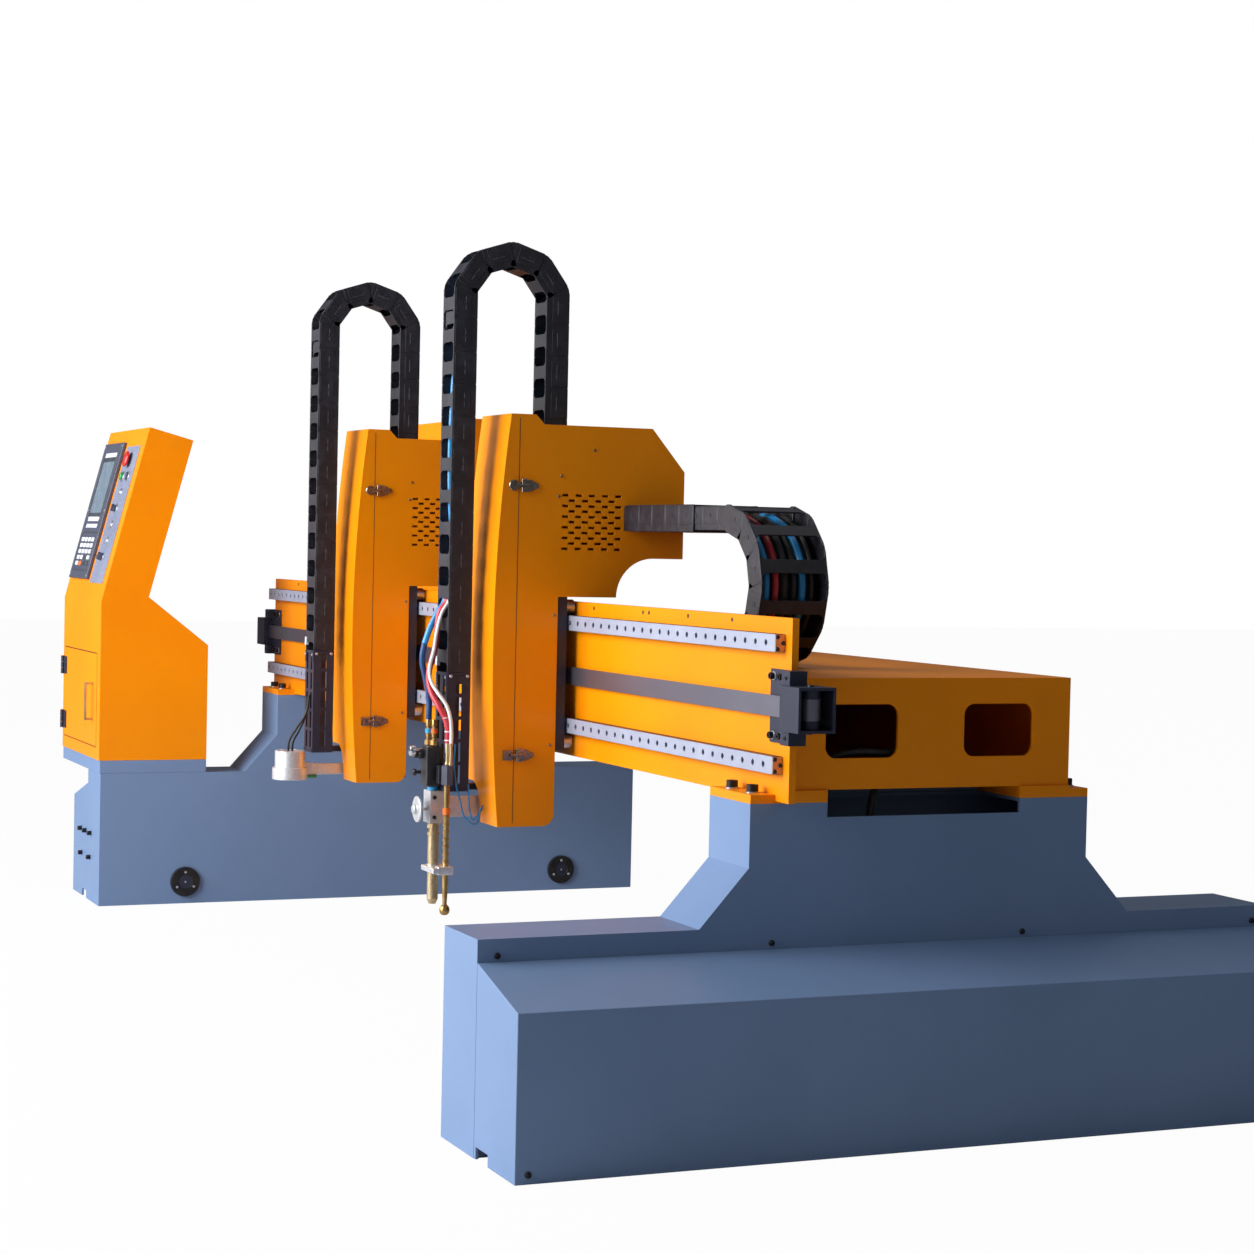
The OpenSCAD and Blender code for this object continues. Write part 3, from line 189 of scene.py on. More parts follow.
def noiseOf(group, place, scale, detail=2, rough=0.5):
    sockets = {"Vector": place, "Scale": scale, "Detail": detail, "Roughness": rough}
    return addNode(group, "ShaderNodeTexNoise", sockets).outputs["Fac"]


def rangeOf(group, value, low, high):
    sockets = {"Value": value, "From Min": low, "From Max": high}
    return addNode(group, "ShaderNodeMapRange", sockets).outputs[0]


def mixOf(group, share, first, second):
    return addNode(group, "ShaderNodeMix", {0: share, 6: first, 7: second}, data_type="RGBA").outputs[2]


def productOf(group, first, second, kind="ShaderNodeMath"):
    return addNode(group, kind, {0: first, 1: second}, operation="MULTIPLY").outputs[0]


def dullOf(group, pattern, depth, gloss):
    sockets = {0: pattern, 1: depth, 2: gloss}
    return addNode(group, "ShaderNodeMath", sockets, operation="MULTIPLY_ADD").outputs[0]


def bumpOf(group, height, distance, strength, under=None):
    sockets = {"Distance": distance, "Strength": strength, "Height": height}
    if under:
        sockets["Normal"] = under
    return addNode(group, "ShaderNodeBump", sockets).outputs["Normal"]


def paintedSurface():
    group, given, place = openGroup("paintedSurface", {"Gloss": 0.3, "Dust": 0.1, "Peel": 0.02})
    clouds = noiseOf(group, place, 2.2, 4)
    tone = mixOf(group, rangeOf(group, clouds, 0.35, 0.75), given["Base"], given["Shade"])
    grime = rangeOf(group, noiseOf(group, place, 26, 8, 0.7), 0.56, 0.82)
    dusty = mixOf(group, productOf(group, grime, given["Dust"]), tone, (0.22, 0.19, 0.16, 1))
    sheetWave = bumpOf(group, noiseOf(group, place, 5), 0.01, 0.08)
    peel = bumpOf(group, noiseOf(group, place, 240), 0.001, given["Peel"], sheetWave)
    return closeGroup(group, dusty, dullOf(group, clouds, 0.16, given["Gloss"]), peel)


def brushedSurface():
    amounts = {"Gloss": 0.3, "Scratch": 0.2, "Stretch": (2, 60, 60)}
    group, given, place = openGroup("brushedSurface", amounts)
    stretched = productOf(group, place, given["Stretch"], "ShaderNodeVectorMath")
    grain = noiseOf(group, stretched, 8, 6)
    stains = rangeOf(group, productOf(group, grain, noiseOf(group, place, 7, 5)), 0.12, 0.45)
    tone = mixOf(group, stains, given["Shade"], given["Base"])
    scratches = bumpOf(group, grain, 0.0004, given["Scratch"])
    return closeGroup(group, tone, dullOf(group, grain, 0.2, given["Gloss"]), scratches)


def mouldedSurface():
    group, given, place = openGroup("mouldedSurface", {"Gloss": 0.4, "Grain": 0.2})
    clouds = noiseOf(group, place, 30, 6)
    tone = mixOf(group, rangeOf(group, clouds, 0.45, 0.8), given["Base"], given["Shade"])
    grain = bumpOf(group, noiseOf(group, place, 900), 0.0005, given["Grain"])
    return closeGroup(group, tone, dullOf(group, clouds, 0.2, given["Gloss"]), grain)


surfaces = {
    "painted": (paintedSurface(), ("Gloss", "Dust", "Peel")),
    "brushed": (brushedSurface(), ("Gloss", "Scratch", "Stretch")),
    "moulded": (mouldedSurface(), ("Gloss", "Grain")),
}

# each finish: surface, base colour, shade, the surface's amounts, and the shader's own values
recipes = {
    "orangePaint": ("painted", (0.93, 0.292, 0.001), (0.87, 0.25, 0.001), (0.32, 0.06, 0.08),
                    {"Coat Weight": 0.11, "Coat Roughness": 0.15, "Specular IOR Level": 0.14}),
    "bluePaint": ("painted", (0.172, 0.266, 0.455), (0.147, 0.234, 0.405), (0.36, 0.06, 0.10),
                  {"Coat Weight": 0.08, "Coat Roughness": 0.25, "Specular IOR Level": 0.3}),
    "darkSteel": ("painted", (0.017, 0.021, 0.044), (0.026, 0.030, 0.060), (0.34, 0.2, 0.2),
                  {"Metallic": 0.2}),
    "groundSteel": ("brushed", (0.70, 0.72, 0.78), (0.42, 0.44, 0.50), (0.24, 0.25), {"Metallic": 0.9}),
    "railSteel": ("brushed", (0.42, 0.46, 0.58), (0.34, 0.37, 0.48), (0.34, 0.2), {"Metallic": 0.15}),
    # dark brown for the strips of painted shadow along the rails' edges
    "railGrooveShade": ("brushed", (0.13, 0.075, 0.05), (0.07, 0.04, 0.03), (0.4, 0.2), {"Metallic": 0.3}),
    "bandSteel": ("brushed", (0.24, 0.235, 0.295), (0.215, 0.21, 0.265), (0.24, 0.0), {"Metallic": 0.8}),
    "aluminium": ("brushed", (0.82, 0.83, 0.85), (0.62, 0.63, 0.66), (0.34, 0.15, (20, 20, 20)),
                  {"Metallic": 0.85}),
    "brass": ("brushed", (0.62, 0.42, 0.16), (0.34, 0.21, 0.08), (0.22, 0.2, (20, 20, 6)),
              {"Metallic": 1.0}),
    "stripSlate": ("brushed", (0.30, 0.33, 0.46), (0.20, 0.23, 0.34), (0.34, 0.1, (3, 30, 30)),
                   {"Metallic": 0.2}),
    "dimSteel": ("brushed", (0.36, 0.24, 0.15), (0.22, 0.14, 0.08), (0.3, 0.1, (20, 20, 20)),
                 {"Metallic": 0.7}),
    "chrome": ("brushed", (0.80, 0.80, 0.82), (0.60, 0.60, 0.62), (0.08, 0.05, (20, 20, 20)),
               {"Metallic": 1.0}),
    "latchSteel": ("brushed", (0.46, 0.40, 0.37), (0.24, 0.19, 0.16), (0.14, 0.1, (20, 20, 20)),
                   {"Metallic": 1.0}),
    "copperEnd": ("brushed", (0.74, 0.44, 0.26), (0.50, 0.26, 0.13), (0.3, 0.2, (20, 20, 20)),
                  {"Metallic": 0.6}),
    "paleGold": ("brushed", (0.78, 0.66, 0.44), (0.46, 0.33, 0.16), (0.2, 0.2, (14, 14, 3)),
                 {"Metallic": 0.9}),
    "chainPlastic": ("moulded", (0.011, 0.011, 0.018), (0.028, 0.028, 0.042), (0.42, 0.25), {}),
    "chainWorn": ("moulded", (0.055, 0.055, 0.075), (0.09, 0.09, 0.11), (0.5, 0.25), {}),
    "darkPlastic": ("moulded", (0.035, 0.042, 0.058), (0.055, 0.062, 0.08), (0.36, 0.2), {}),
    "slatePlastic": ("moulded", (0.062, 0.068, 0.105), (0.085, 0.09, 0.13), (0.32, 0.15), {}),
    "blackPlastic": ("moulded", (0.014, 0.014, 0.018), (0.03, 0.03, 0.034), (0.28, 0.15), {}),
    "redPlastic": ("moulded", (0.62, 0.012, 0.014), (0.50, 0.010, 0.012), (0.2, 0.05),
                   {"Coat Weight": 0.4}),
    "greenPlastic": ("moulded", (0.02, 0.30, 0.08), (0.02, 0.24, 0.07), (0.2, 0.05), {"Coat Weight": 0.4}),
    "hoseRubber": ("moulded", (0.02, 0.20, 0.48), (0.03, 0.24, 0.52), (0.3, 0.1), {}),
    "hoseBlue": ("moulded", (0.01, 0.24, 0.60), (0.02, 0.32, 0.70), (0.26, 0.08), {"Coat Weight": 0.2}),
    "hoseWhite": ("moulded", (0.80, 0.80, 0.80), (0.66, 0.66, 0.65), (0.3, 0.08), {}),
    "hoseRed": ("moulded", (0.52, 0.02, 0.035), (0.60, 0.07, 0.09), (0.30, 0.08), {"Coat Weight": 0.2}),
    "hoseSky": ("moulded", (0.03, 0.36, 0.72), (0.03, 0.30, 0.62), (0.26, 0.05), {"Coat Weight": 0.3}),
    "hoseNavy": ("moulded", (0.006, 0.05, 0.17), (0.012, 0.09, 0.28), (0.3, 0.08), {}),
    "blackRubber": ("moulded", (0.012, 0.012, 0.013), (0.03, 0.03, 0.03), (0.45, 0.2), {}),
    "screenGlass": ("moulded", (0.20, 0.27, 0.35), (0.25, 0.33, 0.42), (0.12, 0.0),
                    {"Coat Weight": 0.5, "Coat Roughness": 0.05}),
    "lampLens": ("moulded", (0.30, 0.32, 0.36), (0.22, 0.24, 0.28), (0.12, 0.02), {"Coat Weight": 0.8}),
    "paleLabel": ("moulded", (0.62, 0.64, 0.72), (0.50, 0.52, 0.60), (0.4, 0.05), {}),
    "paleKeys": ("moulded", (0.72, 0.74, 0.80), (0.58, 0.60, 0.66), (0.3, 0.05), {}),
    "orangeKey": ("moulded", (0.80, 0.16, 0.01), (0.66, 0.12, 0.01), (0.3, 0.05), {}),
    "seamShade": ("moulded", (0.10, 0.028, 0.004), (0.05, 0.014, 0.003), (0.6, 0.1), {}),
    "boltBlack": ("moulded", (0.012, 0.012, 0.014), (0.03, 0.028, 0.028), (0.3, 0.2), {"Metallic": 0.4}),
}


def mixFinish(name, surface, base, shade, amounts, shader):
    made = bpy.data.materials.new(name)
    made.use_nodes = True
    tree = made.node_tree
    body = tree.nodes["Principled BSDF"]
    group, labels = surfaces[surface]
    values = {"Base": (*base, 1), "Shade": (*shade, 1), **dict(zip(labels, amounts))}
    pattern = addNode(tree, "ShaderNodeGroup", values, node_tree=group)
    for given, wanted in (("Colour", "Base Color"), ("Roughness", "Roughness"), ("Normal", "Normal")):
        tree.links.new(pattern.outputs[given], body.inputs[wanted])
    for key, value in shader.items():
        body.inputs[key].default_value = value
    return made


finishes = {name: mixFinish(name, *recipe) for name, recipe in recipes.items()}
print("finishes mixed")

slotFinish = {
    "blue_paint": "bluePaint", "orange_paint": "orangePaint", "dark_steel": "darkSteel",
    "ground_steel": "groundSteel", "aluminium": "aluminium", "brass": "brass",
    "black_plastic": "chainPlastic", "dark_plastic": "darkPlastic", "red_plastic": "redPlastic",
    "green_plastic": "greenPlastic", "hose_rubber": "hoseRubber", "black_rubber": "blackRubber",
}
slotOf = {part["node"]: part["material_slot"] for part in frame["record"]["subparts"]}
bodyOf = {name: body for body, names in frame["record"]["behaviour"]["bodies"].items() for name in names}


def deselectAll():
    if bpy.context.mode != "OBJECT":
        bpy.ops.object.mode_set(mode="OBJECT")
    bpy.ops.object.select_all(action="DESELECT")


def pick(piece):
    deselectAll()
    piece.select_set(True)
    bpy.context.view_layer.objects.active = piece


def applyPlace():
    bpy.ops.object.transform_apply(location=True, rotation=True, scale=True)


def movePiece(piece, matrix):
    piece.matrix_world = matrix
    applyPlace()
    return piece


def extrudeBy(x, y, z):
    bpy.ops.mesh.extrude_region_move(TRANSFORM_OT_translate={"value": (x, y, z)})


# leaves the active piece in edit mode, with the faces that pass the test selected
def pickFaces(piece, test):
    bpy.ops.object.mode_set(mode="EDIT")
    bpy.ops.mesh.select_mode(type="FACE")
    bpy.ops.mesh.select_all(action="DESELECT")
    bpy.ops.object.mode_set(mode="OBJECT")
    for face in piece.data.polygons:
        face.select = test(face)
    bpy.ops.object.mode_set(mode="EDIT")


def smoothPiece(piece, angle=40):
    pick(piece)
    bpy.ops.object.shade_smooth_by_angle(angle=math.radians(angle))
    flat = piece.modifiers.new("flatFaces", "WEIGHTED_NORMAL")
    flat.keep_sharp = True
    bpy.ops.object.modifier_apply(modifier=flat.name)


def softenEdges(piece, width, segments=2, angle=35):
    pick(piece)
    bevel = piece.modifiers.new("softEdges", "BEVEL")
    bevel.width = width * mm
    bevel.segments = segments
    bevel.limit_method = "ANGLE"
    bevel.angle_limit = math.radians(angle)
    bpy.ops.object.modifier_apply(modifier=bevel.name)


# gives a piece its finish and body, and hides the nodes that it stands for
def fitPiece(piece, body, slot, finish, stands=(), smooth=None):
    if smooth:
        smoothPiece(piece, smooth)
    piece.data.materials.clear()
    piece.data.materials.append(finishes[finish])
    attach(piece, body)
    if stands:
        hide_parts(*stands)


def joinPieces(name, pieces):
    deselectAll()
    for piece in pieces:
        piece.select_set(True)
    bpy.context.view_layer.objects.active = pieces[0]
    applyPlace()
    if len(pieces) > 1:
        bpy.ops.object.join()
    bpy.context.object.name = name
    return bpy.context.object


def fitJoined(name, pieces, body, slot, finish, stands=(), smooth=None):
    fitPiece(joinPieces(name, pieces), body, slot, finish, stands, smooth)


# a cube of a size about a middle, both in metres
def addCube(name, size, middle=(0, 0, 0)):
    deselectAll()
    bpy.ops.mesh.primitive_cube_add(size=1, location=middle)
    piece = bpy.context.object
    piece.name = name
    piece.scale = size
    applyPlace()
    return piece


# a box between two corners in the drawing's millimetres, with soft edges
def softBox(name, x0, x1, y0, y1, z0, z1, width=1.0, segments=2):
    low, high = at(x0, y0, z0), at(x1, y1, z1)
    piece = addCube(name, high - low, (low + high) / 2)
    softenEdges(piece, width, segments)
    return piece


# a round piece grown from a disc: each ring is (radius, height) in millimetres
def turned(name, rings, place, axis=upward, sides=24, phase=0.0):
    deselectAll()
    radius, height = rings[0]
    bpy.ops.mesh.primitive_circle_add(vertices=sides, radius=radius * mm, fill_type="NGON",
                                      location=(0, 0, height * mm), rotation=(0, 0, math.radians(phase)))
    piece = bpy.context.object
    piece.name = name
    applyPlace()
    bpy.ops.object.mode_set(mode="EDIT")
    bpy.ops.mesh.select_all(action="SELECT")
    for nextRadius, nextHeight in rings[1:]:
        extrudeBy(0, 0, (nextHeight - height) * mm)
        grow = nextRadius / radius
        bpy.ops.transform.resize(value=(grow, grow, 1), center_override=(0, 0, nextHeight * mm))
        radius, height = nextRadius, nextHeight
    bpy.ops.mesh.select_all(action="SELECT")
    bpy.ops.mesh.normals_make_consistent(inside=False)
    bpy.ops.object.mode_set(mode="OBJECT")
    turn = Vector(upward).rotation_difference(Vector(axis).normalized()).to_matrix().to_4x4()
    return movePiece(piece, Matrix.Translation(place) @ turn)


# a turned piece from its row in a dictionary: rings and place, then axis, sides and phase
def turnedRow(rows, name):
    rings, place, *rest = rows[name]
    return turned(name, rings, at(*place), *rest)


# a round tube through points in the drawing's millimetres
def runTube(name, points, radius, sides=8, steps=6):
    deselectAll()
    bpy.ops.curve.primitive_nurbs_path_add()
    piece = bpy.context.object
    piece.name = name
    piece.data.splines.clear()
    line = piece.data.splines.new("BEZIER")
    line.bezier_points.add(len(points) - 1)
    for knot, place in zip(line.bezier_points, points):
        knot.co = at(*place)
        knot.handle_left_type = knot.handle_right_type = "AUTO"
    piece.data.resolution_u = steps
    piece.data.bevel_depth = radius * mm
    piece.data.bevel_resolution = max(0, sides // 2 - 2)
    piece.data.use_fill_caps = True
    bpy.ops.object.convert(target="MESH")
    applyPlace()
    bpy.ops.object.shade_smooth()
    return bpy.context.object


# sinks the face that looks most along a direction: an inset, then an inward step
def sinkFace(piece, direction, border, depth):
    pick(piece)
    normal = Vector(direction).normalized()
    best = max(piece.data.polygons, key=lambda face: face.normal.dot(normal) * 10 + face.area).index
    pickFaces(piece, lambda face: face.index == best)
    bpy.ops.mesh.inset(thickness=border * mm)
    extrudeBy(*(-normal * depth * mm))
    bpy.ops.object.mode_set(mode="OBJECT")


def copiesAt(source, places):
    made = []
    for place in places:
        twin = source.copy()
        twin.data = source.data.copy()
        scene.collection.objects.link(twin)
        twin.matrix_world = place
        made.append(twin)
    return made


def scatter(name, source, places):
    made = joinPieces(name, copiesAt(source, places))
    bpy.data.objects.remove(source)
    return made


# edge widths of the nodes that are carried over, and the finishes that differ from their slots'
dressing = {
    "merge": 0.00002, "flatWithin": 0.6, "sharpFrom": 30, "smoothTo": 40, "width": 0.8,
    "widths": {
        "near_carriage": 3, "far_carriage": 3, "side_covers": 2, "rail_plate": 1.5, "box_beam": 2.5,
        "tensioners": 2.2, "console_cabinet": 1.2, "console_plinth": 2, "control_box": 2,
    },
    "finishes": {
        "guide_rails": "railSteel", "drive_band": "bandSteel", "right_band_roller": "darkSteel",
        "door_handle": "paleGold",
    },
}
ownPieces = (
    "torch_hoses", "tool_wires", "beam_cables", "near_chain_leg", "far_chain_leg", "near_chain_bend",
    "far_chain_bend", "cross_chain_lower", "cross_chain_upper", "cross_chain_bend", "controller",
    "switch_strip", "pilot_lamps", "emergency_stop", "start_button", "stop_button", "mode_selector",
    "speed_knob", "fasteners", "near_latches", "far_latches", "torch", "torch_valves", "clamp_knob",
    "magnet_holder",
)


# a carried-over node: a merged copy gets soft edges, and stands for the node
def dressNode(name):
    d = dressing
    deselectAll()
    piece = nodes[name].copy()
    piece.data = nodes[name].data.copy()
    piece.name = name + "_dressed"
    piece.parent = None
    for key in list(piece.keys()):
        del piece[key]
    scene.collection.objects.link(piece)
    pick(piece)
    bpy.ops.object.mode_set(mode="EDIT")
    bpy.ops.mesh.select_all(action="SELECT")
    bpy.ops.mesh.remove_doubles(threshold=d["merge"])
    bpy.ops.mesh.dissolve_limited(angle_limit=math.radians(d["flatWithin"]))
    bpy.ops.object.mode_set(mode="OBJECT")
    softenEdges(piece, d["widths"].get(name, d["width"]), 2, d["sharpFrom"])
    slot = slotOf[name]
    fitPiece(piece, bodyOf[name], slot, d["finishes"].get(name, slotFinish[slot]), [name], d["smoothTo"])


for name in nodes:
    if name not in ownPieces:
        dressNode(name)
print("nodes dressed")


# cable chain link, drawn along +X from its first pin, width along Y
link = {
    "pitch": 80, "gap": 0.8, "plate": 5, "cheekLong": 0.80, "cheekThick": 2.2, "cheekHigh": 0.68,
    "cheekAt": (0.56, 0.10), "cheekSunk": 0.4, "pinLess": 1.2, "pinShort": 1.6, "pinIn": 0.8,
    "boss": [(6, 0), (6, 1.0), (3.4, 1.0), (3.0, 0.4)], "bossAt": (0.5, 0.1), "bossOut": 0.5,
    "bar": 4, "barShare": 0.40, "lidShare": 0.94, "barIn": 0.2, "flare": 9, "flareGrow": 1.45, "lip": 1.0,
    "dash": 34, "dashHigh": 2.4, "dashThick": 1.4, "dashOut": 0.5,
}


# one cheek of a link: its plate, the raised overlap of the next link's cheek, its pin and boss
def buildCheek(side, width, height):
    half, wall, step = width / 2, link["plate"], link["pitch"]
    outer, inner = side * half, side * (half - wall)
    plate = addCube("plate", scaled(step - link["gap"], wall, height),
                    scaled(step / 2, (outer + inner) / 2, 0))
    softenEdges(plate, 1.2, 1)
    along, up = link["cheekAt"]
    size = scaled(step * link["cheekLong"], link["cheekThick"], height * link["cheekHigh"])
    cheek = addCube("cheek", size, scaled(step * along, outer - side * link["cheekSunk"], height * up))
    softenEdges(cheek, 0.8, 1)
    radius = height / 2 - link["pinLess"]
    pin = turned("pin", [(radius, 0), (radius, wall - link["pinShort"])],
                 Vector((0, (min(outer, inner) + link["pinIn"]) * mm, 0)), (0, 1, 0), 20)
    along, up = link["bossAt"]
    place = Vector(scaled(step * along, outer + side * link["bossOut"], height * up))
    boss = turned("boss", link["boss"], place, (0, side, 0), 10)
    return [plate, cheek, pin, boss]


# a bar between the cheeks, flared at its ends; a lid covers almost the whole pitch
def buildBar(side, width, height, lid):
    step, thick = link["pitch"], link["bar"]
    long = step * link["lidShare" if lid else "barShare"]
    bar = addCube("bar", scaled(long, width - 2 * link["plate"] - 2 * link["flare"], thick),
                  scaled(step / 2, 0, side * (height / 2 - thick / 2 - link["barIn"])))
    for end in (-1, 1):
        pickFaces(bar, lambda face: face.normal.y * end > 0.9)
        extrudeBy(0, end * link["flare"] * mm, 0)
        if not lid:
            middle = (step / 2 * mm, 0, 0)
            bpy.ops.transform.resize(value=(link["flareGrow"], 1, 1), center_override=middle)
        extrudeBy(0, end * link["lip"] * mm, 0)
    bpy.ops.object.mode_set(mode="OBJECT")
    softenEdges(bar, 0.9, 1)
    return bar


def buildLink(name, width, height, lid=False):
    parts = buildCheek(-1, width, height) + buildCheek(1, width, height)
    parts += [buildBar(side, width, height, lid and side < 0) for side in (-1, 1)]
    made = joinPieces(name, parts)
    smoothPiece(made)
    return made


# places of the links: direction angles in the chain's plane, lengths in pitches
def chainPlaces(foot, runs):
    places = []
    point = Vector((0, 0, 0))
    for angle, count in runs:
        turn = math.radians(angle)
        along = Vector((math.cos(turn), 0, math.sin(turn)))
        for _ in range(count):
            places.append(foot @ Matrix.Translation(point * mm) @ Matrix.Rotation(-turn, 4, "Y"))
            point = point + along * link["pitch"]
    return places


# pale dashes worn into the middle of each cheek
def addDashes(name, places, width, body):
    marks = []
    middle, half = link["pitch"] / 2, link["dash"] / 2
    high, thick = link["dashHigh"], link["dashThick"]
    for side in (-1, 1):
        dash = softBox("dash", middle - half, middle + half, 0, thick, -high / 2, high / 2, 0.4, 1)
        out = side * (width / 2 + link["dashOut"]) - thick / 2
        dash.location = Vector((0, out * mm, 0)) - at(0, 0, 0)
        applyPlace()
        marks.append(dash)
    made = scatter(name, joinPieces("dashPair", marks), places)
    fitPiece(made, body, "black_plastic", "chainWorn")


# cable chains: the cross chain lies along X, the lift chains stand up with their width along X
chains = {
    "liftW": 84, "liftH": 62, "crossW": 172, "crossH": 66, "nest": 11, "tailNest": 9,
    "headX": {"near": 718, "far": -454}, "liftX": -5, "frontY": -292, "legBase": 920, "legLinks": 12,
    "lowEnd": 1880.5, "turns": ((-36, 1), (-72, 1), (-108, 1), (-144, 1), (-180, 5)), "liftTail": 115,
    "crossY": 203, "lowZ": 1006, "crossStart": 840, "lowStart": 280, "bendX": 1428, "tail": 384,
    "lowLinks": 12, "topLinks": 5, "bendAngles": (-15, -45, -75, -105, -135, -165),
    "endPlate": (824, 841, 118, 288), "endHalf": 32,
}
chains["topZ"] = chains["lowZ"] + 2 * (link["pitch"] * sum(math.cos(math.radians(a)) for a in (15, 45, 75)))


def fitChain(name, pieces, body, node):
    fitJoined(name, pieces, body, "black_plastic", "chainPlastic", [node])


def buildLiftChain(side, liftLink, liftInner):
    c = chains
    # local X of the chain stands up, local Z looks to the work side
    stand = Matrix(((0, -1, 0, 0), (0, 0, -1, 0), (1, 0, 0, 0), (0, 0, 0, 1)))

    def footAt(z):
        return Matrix.Translation(at(c["headX"][side] + c["liftX"], c["frontY"], z)) @ stand

    leg, bend = side + "_chain_leg", side + "_chain_bend"
    places = chainPlaces(footAt(c["legBase"]), [(0, c["legLinks"])])
    fitChain(leg + "_links", copiesAt(liftLink, places), side + "_lift", leg)
    addDashes(side + "_leg_dashes", places, c["liftW"], side + "_lift")
    places = chainPlaces(footAt(c["lowEnd"]), c["turns"])
    addDashes(side + "_bend_dashes", places, c["liftW"], bend)
    tail = chainPlaces(footAt(c["lowEnd"] - c["liftTail"]), [(0, 1)])
    fitChain(bend + "_links", copiesAt(liftLink, places) + copiesAt(liftInner, tail), bend, bend)


def buildCrossChain(crossLink, crossInner):
    c = chains

    def run(x, z, runs):
        return chainPlaces(Matrix.Translation(at(x, c["crossY"], z)), runs)

    links = copiesAt(crossLink, run(c["lowStart"], c["lowZ"], [(0, c["lowLinks"])]))
    fitChain("cross_chain_lower_links", links, "frame", "cross_chain_lower")
    links = copiesAt(crossLink, run(c["crossStart"], c["topZ"], [(0, c["topLinks"])]))
    end = softBox("endPlate", *c["endPlate"], c["topZ"] - c["endHalf"], c["topZ"] + c["endHalf"], 2)
    fitChain("cross_chain_upper_links", links + [end], "near_head", "cross_chain_upper")
    links = copiesAt(crossLink, run(c["bendX"], c["topZ"], [(angle, 1) for angle in c["bendAngles"]]))
    for z in (c["lowZ"], c["topZ"]):
        links += copiesAt(crossInner, run(c["bendX"] - c["tail"], z, [(0, c["topLinks"])]))
    fitChain("cross_chain_bend_links", links, "cross_chain_bend", "cross_chain_bend")


def buildChains():
    c = chains
    liftLink = buildLink("liftLink", c["liftW"], c["liftH"])
    liftInner = buildLink("liftInner", c["liftW"] - c["nest"], c["liftH"] - c["tailNest"])
    crossLink = buildLink("crossLink", c["crossW"], c["crossH"], True)
    crossInner = buildLink("crossInner", c["crossW"] - c["nest"], c["crossH"] - c["tailNest"])
    for side in c["headX"]:
        buildLiftChain(side, liftLink, liftInner)
    buildCrossChain(crossLink, crossInner)
    for source in (liftLink, liftInner, crossLink, crossInner):
        bpy.data.objects.remove(source)


# hoses and cables inside the chains: offset across the chain, radius, finish; then their routes
chainHoses = {
    "near": [(-22, 7, "hoseBlue"), (-6, 6, "blackRubber"), (8, 5, "blackRubber"), (20, 7, "blackRubber")],
    "far": [(-22, 7, "blackRubber"), (-6, 6, "blackRubber"), (8, 5, "blackRubber"), (20, 7, "blackRubber")],
    "cross": [(-58, 9, "hoseBlue"), (-34, 8, "hoseRed"), (-12, 9, "blackRubber"), (12, 7, "blackRubber"),
              (34, 9, "hoseBlue"), (58, 6, "blackRubber")],
    "forward": 12, "legZ": (926, 1150, 1330, 1620, 1790), "bendZ": (1795, 1880),
    "bendRoute": ((-250, 1950), (-168, 1978), (-90, 1950), (-45, 1870), (-45, 1500)),
    "runX": (1052, 1300, 1430), "roundX": (1540, 1580), "roundHigh": 95,
}


def fitHose(piece, body, finish, stands=()):
    fitPiece(piece, body, "black_rubber" if finish == "blackRubber" else "hose_rubber", finish, stands)


def buildChainHoses():
    c, h = chains, chainHoses
    for side, x in c["headX"].items():
        for index, (across, radius, finish) in enumerate(h[side]):
            px = x + c["liftX"] + across
            deep = c["frontY"] + 4 + 4 * (index % 2)
            shown = deep - (h["forward"] if finish == "hoseBlue" else 0)
            leg = [(px, y, z) for y, z in zip((deep, deep + 8, shown, shown, deep), h["legZ"])]
            bend = [(px, deep, z) for z in h["bendZ"]] + [(px, y, z) for y, z in h["bendRoute"]]
            for label, body, points in (("_leg", "_lift", leg), ("_bend", "_chain_bend", bend)):
                fitHose(runTube(side + label + "_hose_" + str(index), points, radius), side + body, finish)
    low, top, high = c["lowZ"], c["topZ"], h["roundHigh"]
    mid, (roundX, farX) = (low + top) / 2, h["roundX"]
    for index, (across, radius, finish) in enumerate(h["cross"]):
        y = c["crossY"] + across
        lift = 4 * (index % 3) - 4
        points = [(x, y, top + lift) for x in h["runX"]]
        points += [(roundX, y, mid + high + lift), (farX, y, mid), (roundX, y, mid - high - lift)]
        points += [(x, y, low - lift) for x in reversed(h["runX"])]
        fitHose(runTube("cross_hose_" + str(index), points, radius), "cross_chain_bend", finish)


buildChains()
buildChainHoses()
print("chains linked")

# operator panel: places are counted along X, up the slope and out of it
panel = {"foot": (0, -670, 1021), "tilt": 14.8}
panelTurn = math.radians(panel["tilt"])
panelUp = Vector((0, math.sin(panelTurn), math.cos(panelTurn)))
panelOut = Vector((0, -math.cos(panelTurn), math.sin(panelTurn)))


def panelFrame(x, up, out):
    corner = at(*panel["foot"]) + (Vector((x, 0, 0)) + panelUp * up + panelOut * out) * mm
    axes = Matrix((Vector((1, 0, 0)), panelUp, panelOut)).transposed().to_4x4()
    return Matrix.Translation(corner) @ axes


def panelBox(name, x0, x1, s0, s1, o0, o1, width=0.8, segments=2):
    piece = addCube(name, scaled(x1 - x0, s1 - s0, o1 - o0))
    softenEdges(piece, width, segments)
    return movePiece(piece, panelFrame((x0 + x1) / 2, (s0 + s1) / 2, (o0 + o1) / 2))


def panelTurned(name, rings, x, up, sides=24):
    return movePiece(turned(name, rings, Vector((0, 0, 0)), sides=sides), panelFrame(x, up, 0))


